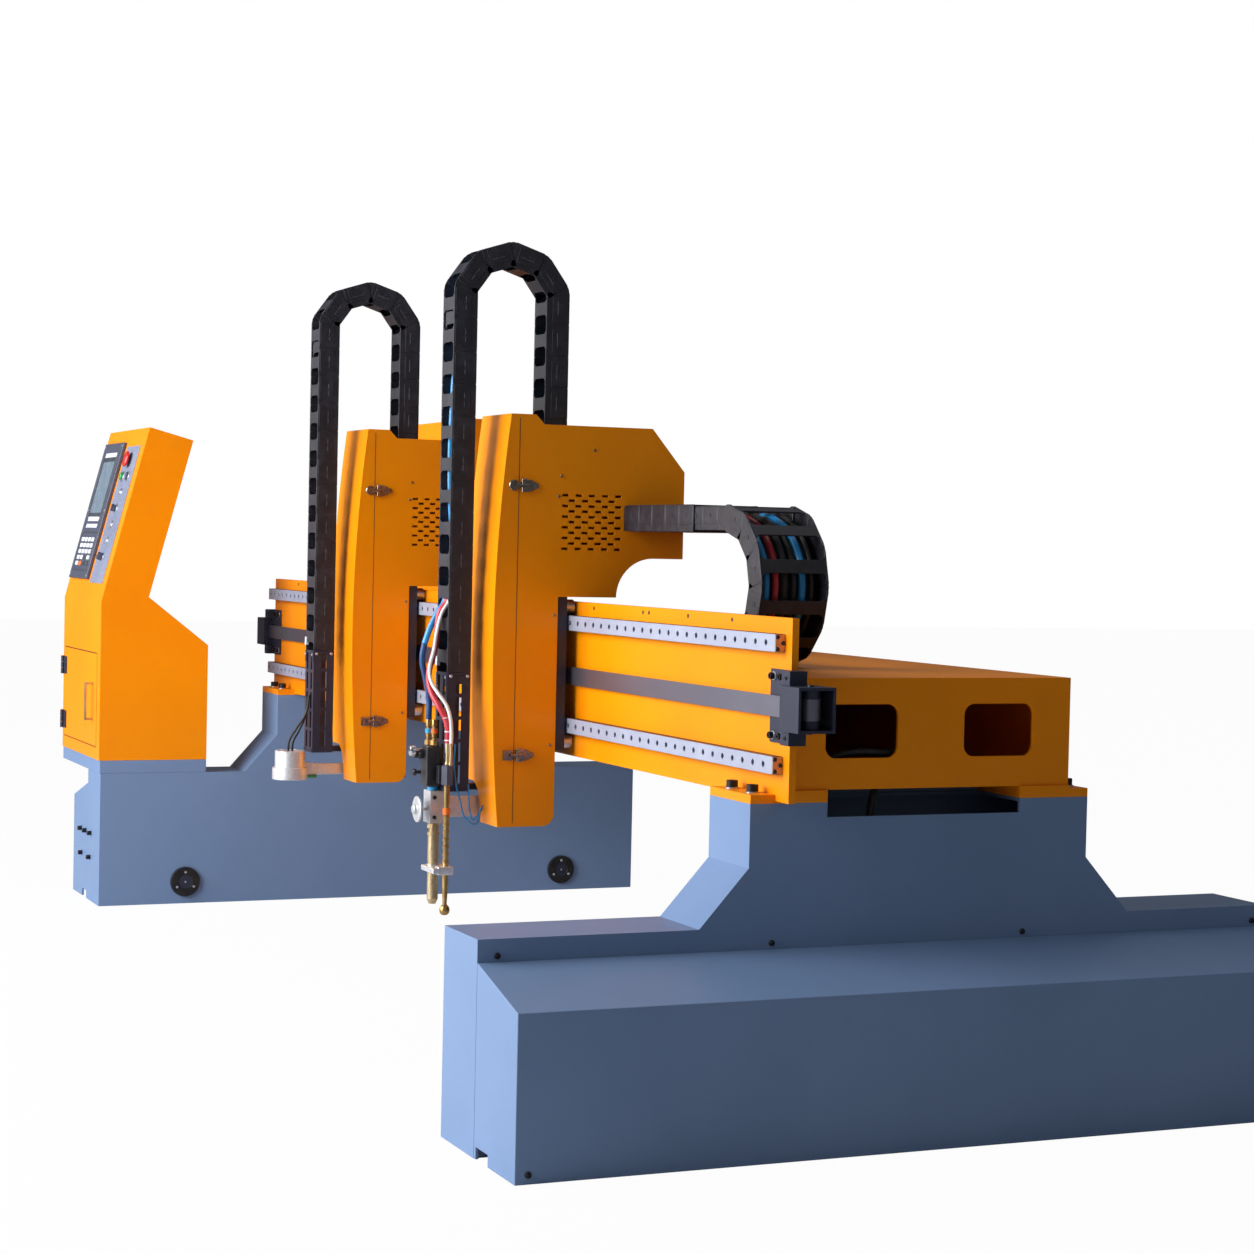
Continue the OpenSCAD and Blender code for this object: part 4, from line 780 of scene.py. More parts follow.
# controller: each layer has its insets from the sides, its low and high edge, its back, how far it
# stays under the face, its edge width, its finish, and the border and depth of a sunk face
controller = {
    "x": (-2330, -2030), "up": (70, 560), "thick": 14, "under": 1.5, "edge": 3,
    "layers": {
        "screenBezel": (44, 44, 292, 506, 8, 0.4, 1.5, "darkPlastic", (12, 3)),
        "screenGlass": (58, 58, 306, 492, 7, 0.9, 0.4, "screenGlass", None),
        "labelStrip0": (60, 60, 508, 524, 10, 0.9, 0.5, "paleLabel", None),
        "labelStrip1": (60, 60, 276, 292, 10, 0.9, 0.5, "paleLabel", None),
        "labelStrip2": (60, 60, 252, 266, 10, 0.9, 0.5, "paleLabel", None),
        "keyField": (36, 24, 96, 238, 10, 1.1, 1, "darkPlastic", (4, 0.8)),
    },
    "keyStart": (-2272, 115.5), "keyStep": (55, 21.6), "keySize": (36, 15), "keyGrid": (5, 4),
    "keyOut": (9, 1.2), "oddKeys": {(0, 1): "orangeKey", (0, 2): "darkPlastic", (0, 3): "darkPlastic",
                                    (1, 2): "darkPlastic"},
    "screwInset": 12, "screwSunk": 2, "screwUp": (82, 315, 548),
    "screw": [(4.5, 0), (4.5, 0.9), (3.9, 1.4), (2.2, 1.4), (1.8, 0.5)],
}


def buildController():
    c = controller
    x0, x1 = c["x"]
    base = panelBox("controllerBody", x0, x1, *c["up"], 0, c["thick"] - c["under"], c["edge"], 3)
    fitPiece(base, "frame", "dark_plastic", "slatePlastic", ["controller"], 40)
    for name, (left, right, low, high, back, under, edge, finish, sunk) in c["layers"].items():
        layer = panelBox(name, x0 + left, x1 - right, low, high, back, c["thick"] - under, edge)
        if sunk:
            sinkFace(layer, panelOut, *sunk)
        fitPiece(layer, "frame", "dark_plastic", finish)
    pale = []
    back, proud = c["keyOut"]
    (rows, columns), (wide, tall) = c["keyGrid"], c["keySize"]
    for row in range(rows):
        for column in range(columns):
            kx = c["keyStart"][0] + c["keyStep"][0] * column
            ks = c["keyStart"][1] + c["keyStep"][1] * row
            key = panelBox("key_" + str(row) + "_" + str(column), kx, kx + wide, ks, ks + tall,
                           back, c["thick"] + proud, 1.4)
            if (row, column) in c["oddKeys"]:
                fitPiece(key, "frame", "dark_plastic", c["oddKeys"][(row, column)])
            else:
                pale.append(key)
    fitJoined("controllerKeys", pale, "frame", "dark_plastic", "paleKeys")
    source = turned("screw", c["screw"], Vector((0, 0, 0)), sides=12)
    corners = [panelFrame(x, up, c["thick"] - c["screwSunk"])
               for x in (x0 + c["screwInset"], x1 - c["screwInset"]) for up in c["screwUp"]]
    fitPiece(scatter("controllerScrews", source, corners), "frame", "ground_steel", "groundSteel")


# switch strip: "reach" is how far the two keys stand from its middle
switches = {
    "x": (-2000, -1800), "up": (60, 545), "thick": 3, "reach": 40, "lamps": (380, 266, 209),
    "stop": 495, "keys": 437, "selector": 323, "speed": 152,
    "rings": {"keys": 19, "selector": 17, "speed": 15, "lamps": 14},
    "ring": [(0, 0), (0, 4.2), (1.6, 5.6), (4, 5.6), (4.6, 3.4)],
    "collar": [(27, 0), (27, 3.6), (25.5, 4.4), (16, 4.4), (15, 9)],
    "lens": [(9.4, 1), (9.4, 6), (8.4, 7.8), (6, 8.8), (2.5, 9.2)],
    "selectorBase": [(12, 2), (12, 12), (11, 14)], "grip": (3.2, 12, 12, 22.5, 2),
    "speedCore": [(13.8, 3), (13.2, 20), (11.5, 23), (4, 23.6)], "mark": (0.8, 3, 11, 22, 24.2, 0.3),
    "pressed": {  # rings, steps of "reach", place up the strip, sides, body, slot, finish
        "stopHead": ([(12, 3), (12, 11), (24, 12), (27.4, 14.5), (27.4, 18), (25.4, 21), (18, 23.2),
                      (7, 24)], 0, "stop", 40, "emergency_stop", "red_plastic", "redPlastic"),
        "startLens": ([(13.4, 2), (13.4, 11), (12.4, 13.4), (8, 14.8), (3, 15)],
                      -1, "keys", 28, "start_button", "green_plastic", "greenPlastic"),
        "stopLens": ([(13.4, 2), (13.4, 9), (12.4, 10.4), (7, 10.4), (6, 9.6)],
                     1, "keys", 28, "stop_button", "black_plastic", "slatePlastic"),
    },
}


def buildSwitches():
    c = switches
    x0, x1 = c["x"]
    mid, reach, radii = (x0 + x1) / 2, c["reach"], c["rings"]
    strip = panelBox("switchStripPlate", x0, x1, *c["up"], 0, c["thick"], 1.2)
    fitPiece(strip, "frame", "dark_plastic", "stripSlate", ["switch_strip"])
    places = [(mid - reach, c["keys"], radii["keys"]), (mid + reach, c["keys"], radii["keys"]),
              (mid, c["selector"], radii["selector"]), (mid, c["speed"], radii["speed"])]
    places += [(mid, up, radii["lamps"]) for up in c["lamps"]]
    rings = [panelTurned("ring", [(radius - less, out) for less, out in c["ring"]], x, up)
             for x, up, radius in places]
    collar = panelTurned("stopCollar", c["collar"], mid, c["stop"], 32)
    fitPiece(collar, "frame", "dark_plastic", "darkPlastic")
    lenses = [panelTurned("lens", c["lens"], mid, up) for up in c["lamps"]]
    fitJoined("panelRings", rings, "frame", "ground_steel", "groundSteel", ["pilot_lamps"], 40)
    fitJoined("lampLenses", lenses, "frame", "dark_plastic", "lampLens", smooth=60)
    for name, (profile, steps, place, sides, body, slot, finish) in c["pressed"].items():
        part = panelTurned(name, profile, mid + steps * reach, c[place], sides)
        fitPiece(part, body, slot, finish, [body], 50)
    base = panelTurned("selectorBase", c["selectorBase"], mid, c["selector"], 28)
    half, long, *rest = c["grip"]
    low, high = c["selector"] - long, c["selector"] + long
    grip = panelBox("selectorGrip", mid - half, mid + half, low, high, *rest)
    fitJoined("selectorKnob", [base, grip], "mode_selector", "black_plastic", "slatePlastic",
              ["mode_selector"], 50)
    core = panelTurned("speedCore", c["speedCore"], mid, c["speed"], 36)
    fitPiece(core, "speed_knob", "black_plastic", "slatePlastic", ["speed_knob"], 50)
    half, low, high, *rest = c["mark"]
    mark = panelBox("speedMark", mid - half, mid + half, c["speed"] + low, c["speed"] + high, *rest)
    fitPiece(mark, "speed_knob", "black_plastic", "paleLabel")


# console door: hinges with screwed leaves, and dark strips of painted shade in the gaps around it
door = {
    "x": (-2340, -1790), "z": (531, 845), "face": -670, "gapShadeY": (-670.9, -669.4),
    "hingeAt": (-2352, -676), "hingeZ": (556, 748), "hingeHigh": 64, "knuckle": (5.6, 6.7, 0.8),
    "fixedLeaf": (12, 3, 2, 0.2), "movingLeaf": (4, 36, -673.4, -670.1),
    "screw": [(4, 0), (4, 1), (3, 1.8), (1.6, 1.8), (1.4, 1)],
    "screwAt": (-2318, -673.2), "screwUp": (12, 32, 52),
}


def addKnuckle(z, shoulder, long):
    narrow, wide, rise = door["knuckle"]
    rings = [(narrow, 0), (wide, rise), (wide, shoulder), (narrow, long)]
    return turned("knuckle", rings, at(*door["hingeAt"], z), sides=16)


def buildHinges():
    d = door
    (hx, hy), high, third = d["hingeAt"], d["hingeHigh"], d["hingeHigh"] / 3
    outer, inner, thick, behind = d["fixedLeaf"]
    start, reach, *leafY = d["movingLeaf"]
    fixed, moving = [], []
    for z in d["hingeZ"]:
        for low in (z, z + 2 * third):
            fixed.append(addKnuckle(low, third - 0.9, third - 0.2))
        back = d["face"] - behind
        fixed.append(softBox("leaf", hx - outer, hx - inner, hy - thick, back, z, z + high, 1))
        moving.append(addKnuckle(z + third + 0.3, third - 1.4, third - 0.6))
        moving.append(softBox("leaf", hx + start, d["x"][0] + reach, *leafY, z + 1, z + high - 1, 1))
        for up in d["screwUp"]:
            moving.append(turned("screw", d["screw"], at(*d["screwAt"], z + up), front, 10))
    fitJoined("hingeFixedHalves", fixed, "frame", "orange_paint", "darkSteel", smooth=40)
    fitJoined("hingeMovingHalves", moving, "console_door", "orange_paint", "darkSteel", smooth=40)


def buildDoorLines():
    (x0, x1), (z0, z1) = door["x"], door["z"]
    # dark strips along the door's top, bottom and free edge: painted shade in the gaps
    shadeStrips = ((x0, x1, z1 + 0.2, z1 + 2.4), (x0, x1, z0 - 2.2, z0 - 0.2), (x1 + 0.2, x1 + 1.8, z0, z1))
    strips = [softBox("doorGapShade", left, right, *door["gapShadeY"], low, high, 0.2, 1)
              for left, right, low, high in shadeStrips]
    fitJoined("doorGapShades", strips, "frame", "orange_paint", "seamShade")


buildController()
buildSwitches()
buildHinges()
buildDoorLines()
print("console fitted")

# sunk screws near the front plate's upper edge
plateScrews = {"x": (921, 1223, 1258, 1478, 1709), "y": 0.2, "z": 1089,
               "head": [(5, 0), (5, 0.5), (4.2, 0.5), (3.4, 0.1)]}


def buildPlateScrews():
    p = plateScrews
    heads = [turned("sunkScrew", p["head"], at(side * x, p["y"], p["z"]), front, 14)
             for x in p["x"] for side in (1, -1)]
    fitJoined("plateScrews", heads, "frame", "dark_steel", "boltBlack")


# rails: screw heads in their counterbores, dark brown strips of painted shadow along their top and bottom
# edges, copper-coloured end faces with dark plugs
rails = {
    "x": (-1975, 1950), "pitch": 50, "low": (772, 1030), "width": 37, "y": (-23.4, -0.6), "headY": -15.2,
    "shadowX": (-1999, 1967), "plateX": (1967.4, 1969.4), "plugX": 1969.2,
    "head": [(6.1, 0), (6.1, 5.2), (5.5, 6), (3.1, 6), (2.9, 2.6)],
    "plug": [(4.8, 0), (4.8, 1.6), (4.2, 2.2), (2, 2.2), (1.8, 1.2)],
    "plugAt": ((-18.4, 5.6), (-18.4, 31.4), (-5.5, 18.5)),
}


def buildRailParts():
    r = rails
    first, last = r["x"]
    for index, low in enumerate(r["low"]):
        high, label = low + r["width"], str(index)
        place = at(first, r["headY"], low + r["width"] / 2)
        screw = turned("railScrews" + label, r["head"], place, front, 12)
        pick(screw)
        row = screw.modifiers.new("row", "ARRAY")
        row.count = int((last - first) / r["pitch"]) + 1
        row.use_relative_offset = False
        row.use_constant_offset = True
        row.constant_offset_displace = (r["pitch"] * mm, 0, 0)
        bpy.ops.object.modifier_apply(modifier=row.name)
        fitPiece(screw, "frame", "ground_steel", "darkSteel")
        # thin dark brown strips along the top and bottom edges: painted shadow of the rail's grooves
        shadeStrips = [softBox("railGrooveShadow", *r["shadowX"], *r["y"], z, z + 0.8, 0.3, 1)
                 for z in (low - 0.5, high - 0.3)]
        fitJoined("railGrooveShadows" + label, shadeStrips, "frame", "ground_steel", "railGrooveShade")
        plate = softBox("railEndPlate" + label, *r["plateX"], *r["y"], low + 1, high - 1, 0.6)
        fitPiece(plate, "frame", "ground_steel", "copperEnd")
        plugs = [turned("plug", r["plug"], at(r["plugX"], y, low + up), alongX, 12)
                 for y, up in r["plugAt"]]
        fitJoined("railEndPlugs" + label, plugs, "frame", "ground_steel", "darkSteel")


# bolts, washers, screws and studs of the fixed frame: profiles, sides, places
bolts = {
    "foot": {
        "x": (1788, 1888), "y": (-29, 759.5), "z": 726, "headUp": 2.8,
        "washer": [(15.8, 0), (15.8, 2.2), (15, 3), (9, 3)],
        "head": [(12.4, 0), (12.8, 1), (12.8, 14), (11.8, 15), (6.6, 15), (6.2, 8)],
    },
    "tension": {
        "x": (1930, 1972), "z": (852.25, 977.75), "y": -5, "headOut": 1.8,
        "washer": [(9.6, 0), (9.6, 1.4), (9, 2), (6, 2)],
        "head": [(7, 0), (7.4, 0.8), (7.4, 8.6), (6.7, 9.6), (3.8, 9.6), (3.6, 5)],
    },
    "setScrew": {"at": ((2026, 977.75), (2026, 852.25)), "y": -25,
                 "head": [(4.2, 0), (4.2, 1.6), (3.6, 2.2), (2, 2.2), (1.8, 1.2)]},
    "cover": {"y": (-621, 0, 621, 1242), "x": 1938, "z": 410, "low": (2172, -636, 19),
              "head": [(6.8, 0), (6.8, 2.6), (5.6, 4.6), (3.2, 5.4), (3, 3.4)]},
    "stud": {"high": 231, "low": 148, "highX": (-2037, -1960, -1876), "lowX": (-2022, -1887), "y": -664,
             "head": [(8.6, 0), (8.6, 2), (7.6, 2.4), (7.6, 13), (6.6, 14), (3.4, 14), (3.2, 10)]},
}


def buildBolts():
    foot, tension, setScrew, cover, stud = bolts.values()
    washers, heads = [], []
    for side in (1, -1):
        for x in foot["x"]:
            for y in foot["y"]:
                washers.append(turned("washer", foot["washer"], at(side * x, y, foot["z"]), sides=28))
                heads.append(turned("boltHead", foot["head"], at(side * x, y, foot["z"] + foot["headUp"])))
        for x in tension["x"]:
            for z in tension["z"]:
                y = tension["y"]
                washers.append(turned("washer", tension["washer"], at(side * x, y, z), front))
                place = at(side * x, y - tension["headOut"], z)
                heads.append(turned("capHead", tension["head"], place, front, 20))
        for x, z in setScrew["at"]:
            heads.append(turned("setScrew", setScrew["head"], at(side * x, setScrew["y"], z), front, 12))
        for x, y, z in [(cover["x"], y, cover["z"]) for y in cover["y"]] + [cover["low"]]:
            heads.append(turned("coverScrew", cover["head"], at(side * x, y, z), (side, 0, 0), 16))
    for x, z in [(x, stud["high"]) for x in stud["highX"]] + [(x, stud["low"]) for x in stud["lowX"]]:
        heads.append(turned("stud", stud["head"], at(x, stud["y"], z), front, 16))
    fitJoined("brightWashers", washers, "frame", "ground_steel", "groundSteel", smooth=40)
    fitJoined("darkBolts", heads, "frame", "dark_steel", "boltBlack", ["fasteners"], 40)


# round caps of the axles on the carriages' inner sides
caps = {
    "x": 1738, "y": (-372, 1001), "z": 74, "screwCircle": 33, "screwAngles": (90, 210, 330),
    "cover": [(50.3, 0), (50.3, 7), (48.6, 9.6), (46.5, 10.6), (24, 10.6), (22.8, 9.4), (8, 9.4)],
    "screw": [(4.4, 0), (4.4, 1.2), (3.6, 2.2), (2, 2.2), (1.8, 1.2)],
    "centre": [(3, 0), (3, 0.8), (2.4, 1.2)], "coverIn": 0.2, "screwIn": 10.4, "centreIn": 9.4,
}


def buildWheelCaps():
    c = caps
    covers, screws = [], []
    for side in (1, -1):
        inward = (-side, 0, 0)
        for y in c["y"]:
            place = at(side * (c["x"] - c["coverIn"]), y, c["z"])
            covers.append(turned("cap", c["cover"], place, inward, 48))
            for turn in map(math.radians, c["screwAngles"]):
                place = at(side * (c["x"] - c["screwIn"]), y + c["screwCircle"] * math.cos(turn),
                           c["z"] + c["screwCircle"] * math.sin(turn))
                screws.append(turned("capScrew", c["screw"], place, inward, 12))
            place = at(side * (c["x"] - c["centreIn"]), y, c["z"])
            screws.append(turned("capCentre", c["centre"], place, inward, 12))
    fitJoined("axleCaps", covers, "frame", "dark_steel", "boltBlack", smooth=40)
    fitJoined("axleCapScrews", screws, "frame", "dark_steel", "groundSteel")


# heads: toggle latches, housing screws, and dark strips of painted shade in the seams
headParts = {
    "half": 105, "seam": -168, "latchZ": (718, 1390), "seamZ": (548, 1558),
    "screws": [(-61, 1366), (-55, 1417), (33, 1484), (-67, 1068), (-72, 742)],
    "screw": [(4, 0), (4, 1.2), (3.2, 2.2), (1.8, 2.4), (1.6, 1.4)],
    "rivet": [(3.4, 0), (3.2, 1), (1.8, 1.8)],
    "ring": [(13.5, 0), (14, 1), (14, 4.6), (12.6, 6.2), (10, 6.2), (9, 4.4), (3, 4.2), (2.6, 5)],
}


# latch pieces: near and far from the face, front and back of the seam, half height, edge, edge steps
latch = {
    "latchBase": (0.2, 3, 4, 30, 15, 1), "latchTail": (0.2, 3, 29, 52, 15, 1, 1),
    "latchBody": (2.5, 9, 5, 19, 17, 2.2, 3), "catch": (0.4, 6, -30, -3, 13, 1.4),
    "latchStrap": (6, 10, -12, 26, 4, 1.2), "rivetAt": (2.8, 42), "ringAt": (0.6, -14),
    "catchInset": (4, 2), "tailTip": 4, "tailMiddle": 50, "tailShare": 0.35, "upperFrom": 1000,
}


# a toggle latch over the seam: the upper ones hook a round catch, the lower ones a square one
def buildLatch(x, face, z, seam):
    def part(name):
        near, far, y0, y1, half, *edge = latch[name]
        low, high = sorted((x + face * near, x + face * far))
        return softBox(name, low, high, seam + y0, seam + y1, z - half, z + half, *edge)

    def knob(name, rings, place, sides):
        near, y = latch[place]
        return turned(name, headParts[rings], at(x + face * near, seam + y, z), (face, 0, 0), sides)

    base, wedge = part("latchBase"), part("latchTail")
    pick(wedge)
    bpy.ops.object.mode_set(mode="EDIT")
    bpy.ops.mesh.select_all(action="DESELECT")
    bpy.ops.object.mode_set(mode="OBJECT")
    end = max(vertex.co.y for vertex in wedge.data.vertices)
    for vertex in wedge.data.vertices:
        vertex.select = vertex.co.y > end - latch["tailTip"] * mm
    bpy.ops.object.mode_set(mode="EDIT")
    middle = tuple(at(x, seam + latch["tailMiddle"], z))
    bpy.ops.transform.resize(value=(1, 1, latch["tailShare"]), center_override=middle)
    bpy.ops.object.mode_set(mode="OBJECT")
    rivet, body = knob("latchRivet", "rivet", "rivetAt", 12), part("latchBody")
    if z > latch["upperFrom"]:
        catch = knob("latchRing", "ring", "ringAt", 28)
    else:
        catch = part("catch")
        sinkFace(catch, (face, 0, 0), *latch["catchInset"])
    return [base, wedge, rivet, body, catch, part("latchStrap")]


def buildHeadParts(side):
    h = headParts
    latches, screws, seamShadows = [], [], []
    for face in (1, -1):
        x = chains["headX"][side] + face * h["half"]
        for z in h["latchZ"]:
            latches += buildLatch(x, face, z, h["seam"])
        for y, z in h["screws"]:
            screws.append(turned("housingScrew", h["screw"], at(x, y, z), (face, 0, 0), 12))
        # a thin dark strip in the seam between cover and housing: painted shade in the gap
        low, high = sorted((x - face * 1.5, x + face * 0.35))
        seamShadows.append(softBox("seam", low, high, h["seam"] - 0.9, h["seam"] + 0.9, *h["seamZ"], 0.2, 1))
    head = side + "_head"
    fitJoined(side + "_latch_parts", latches, head, "ground_steel", "latchSteel", [side + "_latches"], 40)
    fitJoined(side + "_housing_screws", screws, head, "ground_steel", "dimSteel")
    fitJoined(side + "_seams", seamShadows, head, "orange_paint", "seamShade")


buildPlateScrews()
buildRailParts()
buildBolts()
buildWheelCaps()
for side in ("near", "far"):
    buildHeadParts(side)
print("frame and heads fitted")

# torch: hoses run down from the near chain into brass fittings beside a dark valve block
torchX, torchY, torchTip = 705, -334, 336
igniterX, igniterY, igniterTip = 768, -323, 315
clampZ, barZ = 575, 420
hoses = {
    "blue": [(698, -311.8, 1115), (698, -313, 1098), (698, -330.5, 1070), (697, -350, 1030),
             (696, -364, 990), (695, -369, 950), (696, -360, 905), (698, -351, 860), (699, -350, 800)],
    "red": [(713, -311.8, 1115), (713, -313, 1098), (713, -330.5, 1070), (713, -338, 1018),
            (713, -343, 976), (713, -356, 924), (716, -357, 892), (732, -352, 862), (750, -343, 838),
            (762, -331, 812), (766, -323, 785), (766, -322, 745)],
    "white": [(728, -313.3, 1115), (728, -314, 1098), (728, -330, 1070), (728, -344, 1018),
              (728, -350, 976), (729, -361, 924), (738, -358, 895), (754, -345, 868), (769, -330, 842),
              (779, -321, 808), (780, -318, 775), (780, -318, 745)],
    "ties": ((763, -329, 806), (766, -322.5, 772), (766, -322, 750)),
    "tie": [(7, 0), (8.2, 0.4), (8.2, 3.2), (7, 3.6)],
    "wireA": [(760, -300, 742), (760, -302, 690), (760, -296, 640), (758, -284, 600), (756, -272, 560),
              (752, -256, 544), (745, -238, 538), (738, -226, 548), (736, -222, 572), (735, -205, 590)],
    "wireB": [(756, -262, 640), (752, -258, 600), (744, -250, 562), (738, -242, 548), (736, -232, 556),
              (735, -215, 575)],
}

# blocks of the torch: left, right, front, back, low, high, then edge radius and steps
torchBlocks = {
    "valveBody": (torchX - 20, torchX + 29, -366, -323.4, 634, 732, 6, 4),
    "valveBridge": (torchX + 29, torchX + 52, -341, -325, 642, 688, 3),
    "torchCrossbar": (torchX - 17, igniterX + 16, torchY - 26, torchY + 28, barZ, barZ + 14, 2.5),
    "crossbarJaw": (igniterX - 14, igniterX + 15.6, torchY - 12, torchY + 27.6,
                    barZ - 3.5, barZ + 17.5, 2.5),
}

# turned parts of the torch: rings, place, then axis, sides and phase
valveScrew = [(3.4, 0), (3.4, 2), (2.8, 2.6), (1.8, 2.6), (1.6, 1.4)]
torchRings = {
    "valveTop": ([(14, 0), (15, 1), (15, 20), (12, 24), (12, 28)], (torchX, -346, 706)),
    "valveArm": ([(11, 0), (12.5, 1), (12.5, 15), (10.5, 17), (10.5, 26)], (torchX, -362, 714), front, 20),
    "valveFoot": ([(17, 0), (18.5, 1), (18.5, 14), (15, 17)], (torchX, -344, 632), upward, 28),
    "nutBlock": ([(13, 0), (14.6, 1.5), (14.6, 47), (13, 49)],
                 (igniterX + 3, igniterY - 0.5, 640.5), upward, 8, 22.5),
    "gasTube": ([(6.8, 0), (6.8, 6), (5.6, 8), (5.6, 30), (7, 32), (7, 55)], (766, -322, 690), upward, 18),
    "gasTubeThin": ([(5, 0), (5, 6), (4, 8), (4, 46), (5, 48), (5, 55)], (780, -318, 690), upward, 16),
    "oxygenKnob": ([(6, 0), (6, 13), (11, 14), (14, 16), (14, 24), (12.4, 28), (6, 30)],
                   (torchX, -373, 722), front, 18),
    "gasKnob": ([(4.6, 0), (4.6, 12), (8, 13), (9, 14), (9, 20), (7.6, 21.6)],
                (torchX, -371, 668), front, 16),
    "blueCollar": ([(13, 0), (14.4, 0.6), (14.4, 10), (12, 12)], (torchX, torchY - 4, 622.2), upward, 28),
    "valveScrew648": (valveScrew, (torchX + 27, torchY, 648), alongX, 12),
    "valveScrew668": (valveScrew, (torchX + 27, torchY, 668), alongX, 12),
    "barrel": ([(7.6, 0), (9, 0.6), (13.4, 11), (14, 13), (14, 80), (13.4, 82), (13.4, 104), (14, 106),
                (14, 176), (12.6, 178), (12.6, 204), (13.8, 205), (13.8, 285), (9.6, 285.4), (9.6, 292)],
               (torchX, torchY, torchTip), upward, 32),
    "barrelNut": ([(15.4, 0), (16.6, 1), (16.6, 12), (15.4, 13)],
                  (torchX, torchY, torchTip + 190), upward, 6),
    "barrelCollar": ([(14, 0), (16, 0.8), (16, 9), (14, 10)], (torchX, torchY, torchTip + 172), upward, 28),
    "igniterBand": ([(8, 0), (9.4, 0.5), (9.4, 17), (8, 17.5)], (igniterX, igniterY, 566), upward, 18),
    "clampKnobBody": ([(5, 0), (31.5, 0.4), (32.9, 1.6), (32.9, 4.6), (31.5, 5.8), (13, 6), (11.6, 7.4),
                       (11.6, 14), (9.6, 15.8), (4, 16)], (torchX, -375, clampZ), front, 40),
    "clampKnobStem": ([(4.9, 0), (4.9, 24)], (torchX, -351, clampZ), front, 16),
}
hose = ("near_lift", "hose_rubber")
darkPart = ("near_lift", "dark_steel")
brassPart = ("near_lift", "brass")
brightPart = ("near_lift", "ground_steel")


def buildTorchHoses():
    h = hoses
    upper, lower = h["blue"][:5], h["blue"][4:]
    fitPiece(runTube("hoseBlueUpper", upper, 7.8, 12), *hose, "hoseBlue", ["torch_hoses"])
    fitPiece(runTube("hoseBlueLower", lower, 7.7, 12), *hose, "hoseNavy")
    fitPiece(runTube("hoseWhite", h["white"], 4.6, 12), *hose, "hoseWhite")
    fitPiece(runTube("hoseRed", h["red"], 7.8, 12), *hose, "hoseRed")
    ties = [turned("tie", h["tie"], at(*place), sides=16) for place in h["ties"]]
    fitJoined("hoseTies", ties, *hose, "hoseWhite")
    wires = [runTube("torchWireA", h["wireA"], 2.4), runTube("torchWireB", h["wireB"], 2.0)]
    fitJoined("torchWires", wires, *hose, "hoseBlue")


# brass nipples: hexagon nut, ribbed ferrules and a coloured ring, as growth of one radius
fitting = {
    "radius": 6.4, "z": (736, 800), "foot": [(-0.6, 0), (0.4, 0.6)], "nutDrop": 0.5, "bandUp": 0.46,
    "shares": [(0.4, 0.12), (-0.8, 0.14), (-0.8, 0.3), (0.8, 0.32), (0.8, 0.55), (-0.4, 0.57), (-0.4, 0.72),
               (1.2, 0.74), (1.2, 0.97), (0, 1)],
    "nut": [(2.6, 0), (3.4, 0.8), (3.4, 13), (2.4, 14)], "band": [(0, 0), (2.2, 0.4), (2.2, 11), (0, 11.4)],
}


def buildFitting(x, y, ring):
    f = fitting
    radius, (low, top) = f["radius"], f["z"]
    tall = top - low
    rings = [(radius + grow, z) for grow, z in f["foot"]]
    rings += [(radius + grow, tall * share) for grow, share in f["shares"]]
    nut = turned("nut", [(radius + grow, z) for grow, z in f["nut"]], at(x, y, low - f["nutDrop"]), sides=6)
    ferrule = turned("ferrule", rings, at(x, y, low), sides=20)
    fitJoined("fitting_" + ring, [nut, ferrule], *brassPart, "brass", smooth=35)
    rings = [(radius + grow, z) for grow, z in f["band"]]
    band = turned("fittingRing_" + ring, rings, at(x, y, low + tall * f["bandUp"]), sides=20)
    fitPiece(band, *hose, ring)


def torchPart(name):
    return turnedRow(torchRings, name)


def torchBlock(name):
    return softBox(name, *torchBlocks[name])


def buildValves():
    body = torchBlock("valveBody")
    sinkFace(body, alongX, 10, 3)
    parts = [body] + [torchPart(name) for name in ("valveTop", "valveArm", "valveFoot")]
    parts.append(torchBlock("valveBridge"))
    fitJoined("valveBlock", parts, *darkPart, "blackPlastic", ["torch_valves"], 40)
    fitPiece(torchPart("nutBlock"), *darkPart, "slatePlastic")
    tubes = [torchPart("gasTube"), torchPart("gasTubeThin")]
    fitJoined("gasTubes", tubes, *brassPart, "paleGold", smooth=35)
    fitPiece(torchPart("oxygenKnob"), *brightPart, "chrome", smooth=40)
    fitPiece(torchPart("gasKnob"), *darkPart, "blackPlastic", smooth=40)
    fitPiece(torchPart("blueCollar"), *hose, "hoseSky")
    buildFitting(699, -350, "hoseSky")
    buildFitting(715, -340, "orangeKey")
    for name in ("valveScrew648", "valveScrew668"):
        fitPiece(torchPart(name), *brightPart, "groundSteel")


# the igniter beside the torch: a ball tip, a ribbed tube and its foot
igniter = {
    "ball": [(3, 0), (8.4, 1.6), (11.8, 5.8), (13, 12.6), (11.8, 19), (8.6, 23.6), (5.8, 26.4), (5.4, 30),
             (6.2, 46), (7.4, 70), (7.8, 96), (7.8, 104)],
    "ribs": 9, "ribsFrom": 112, "ribStep": 18.6, "rib": [(8.6, 0), (8.6, 6), (7.0, 7.5), (7.0, 15)],
    "end": [(7.6, 281.4), (7.6, 325)],
}
clampScrews = {"x": torchX + 25.8, "y": torchY - 8, "z": (556, 606),
               "rings": [(5, 0), (5, 3.6), (4.4, 4.4), (2.6, 4.4), (2.4, 2)]}


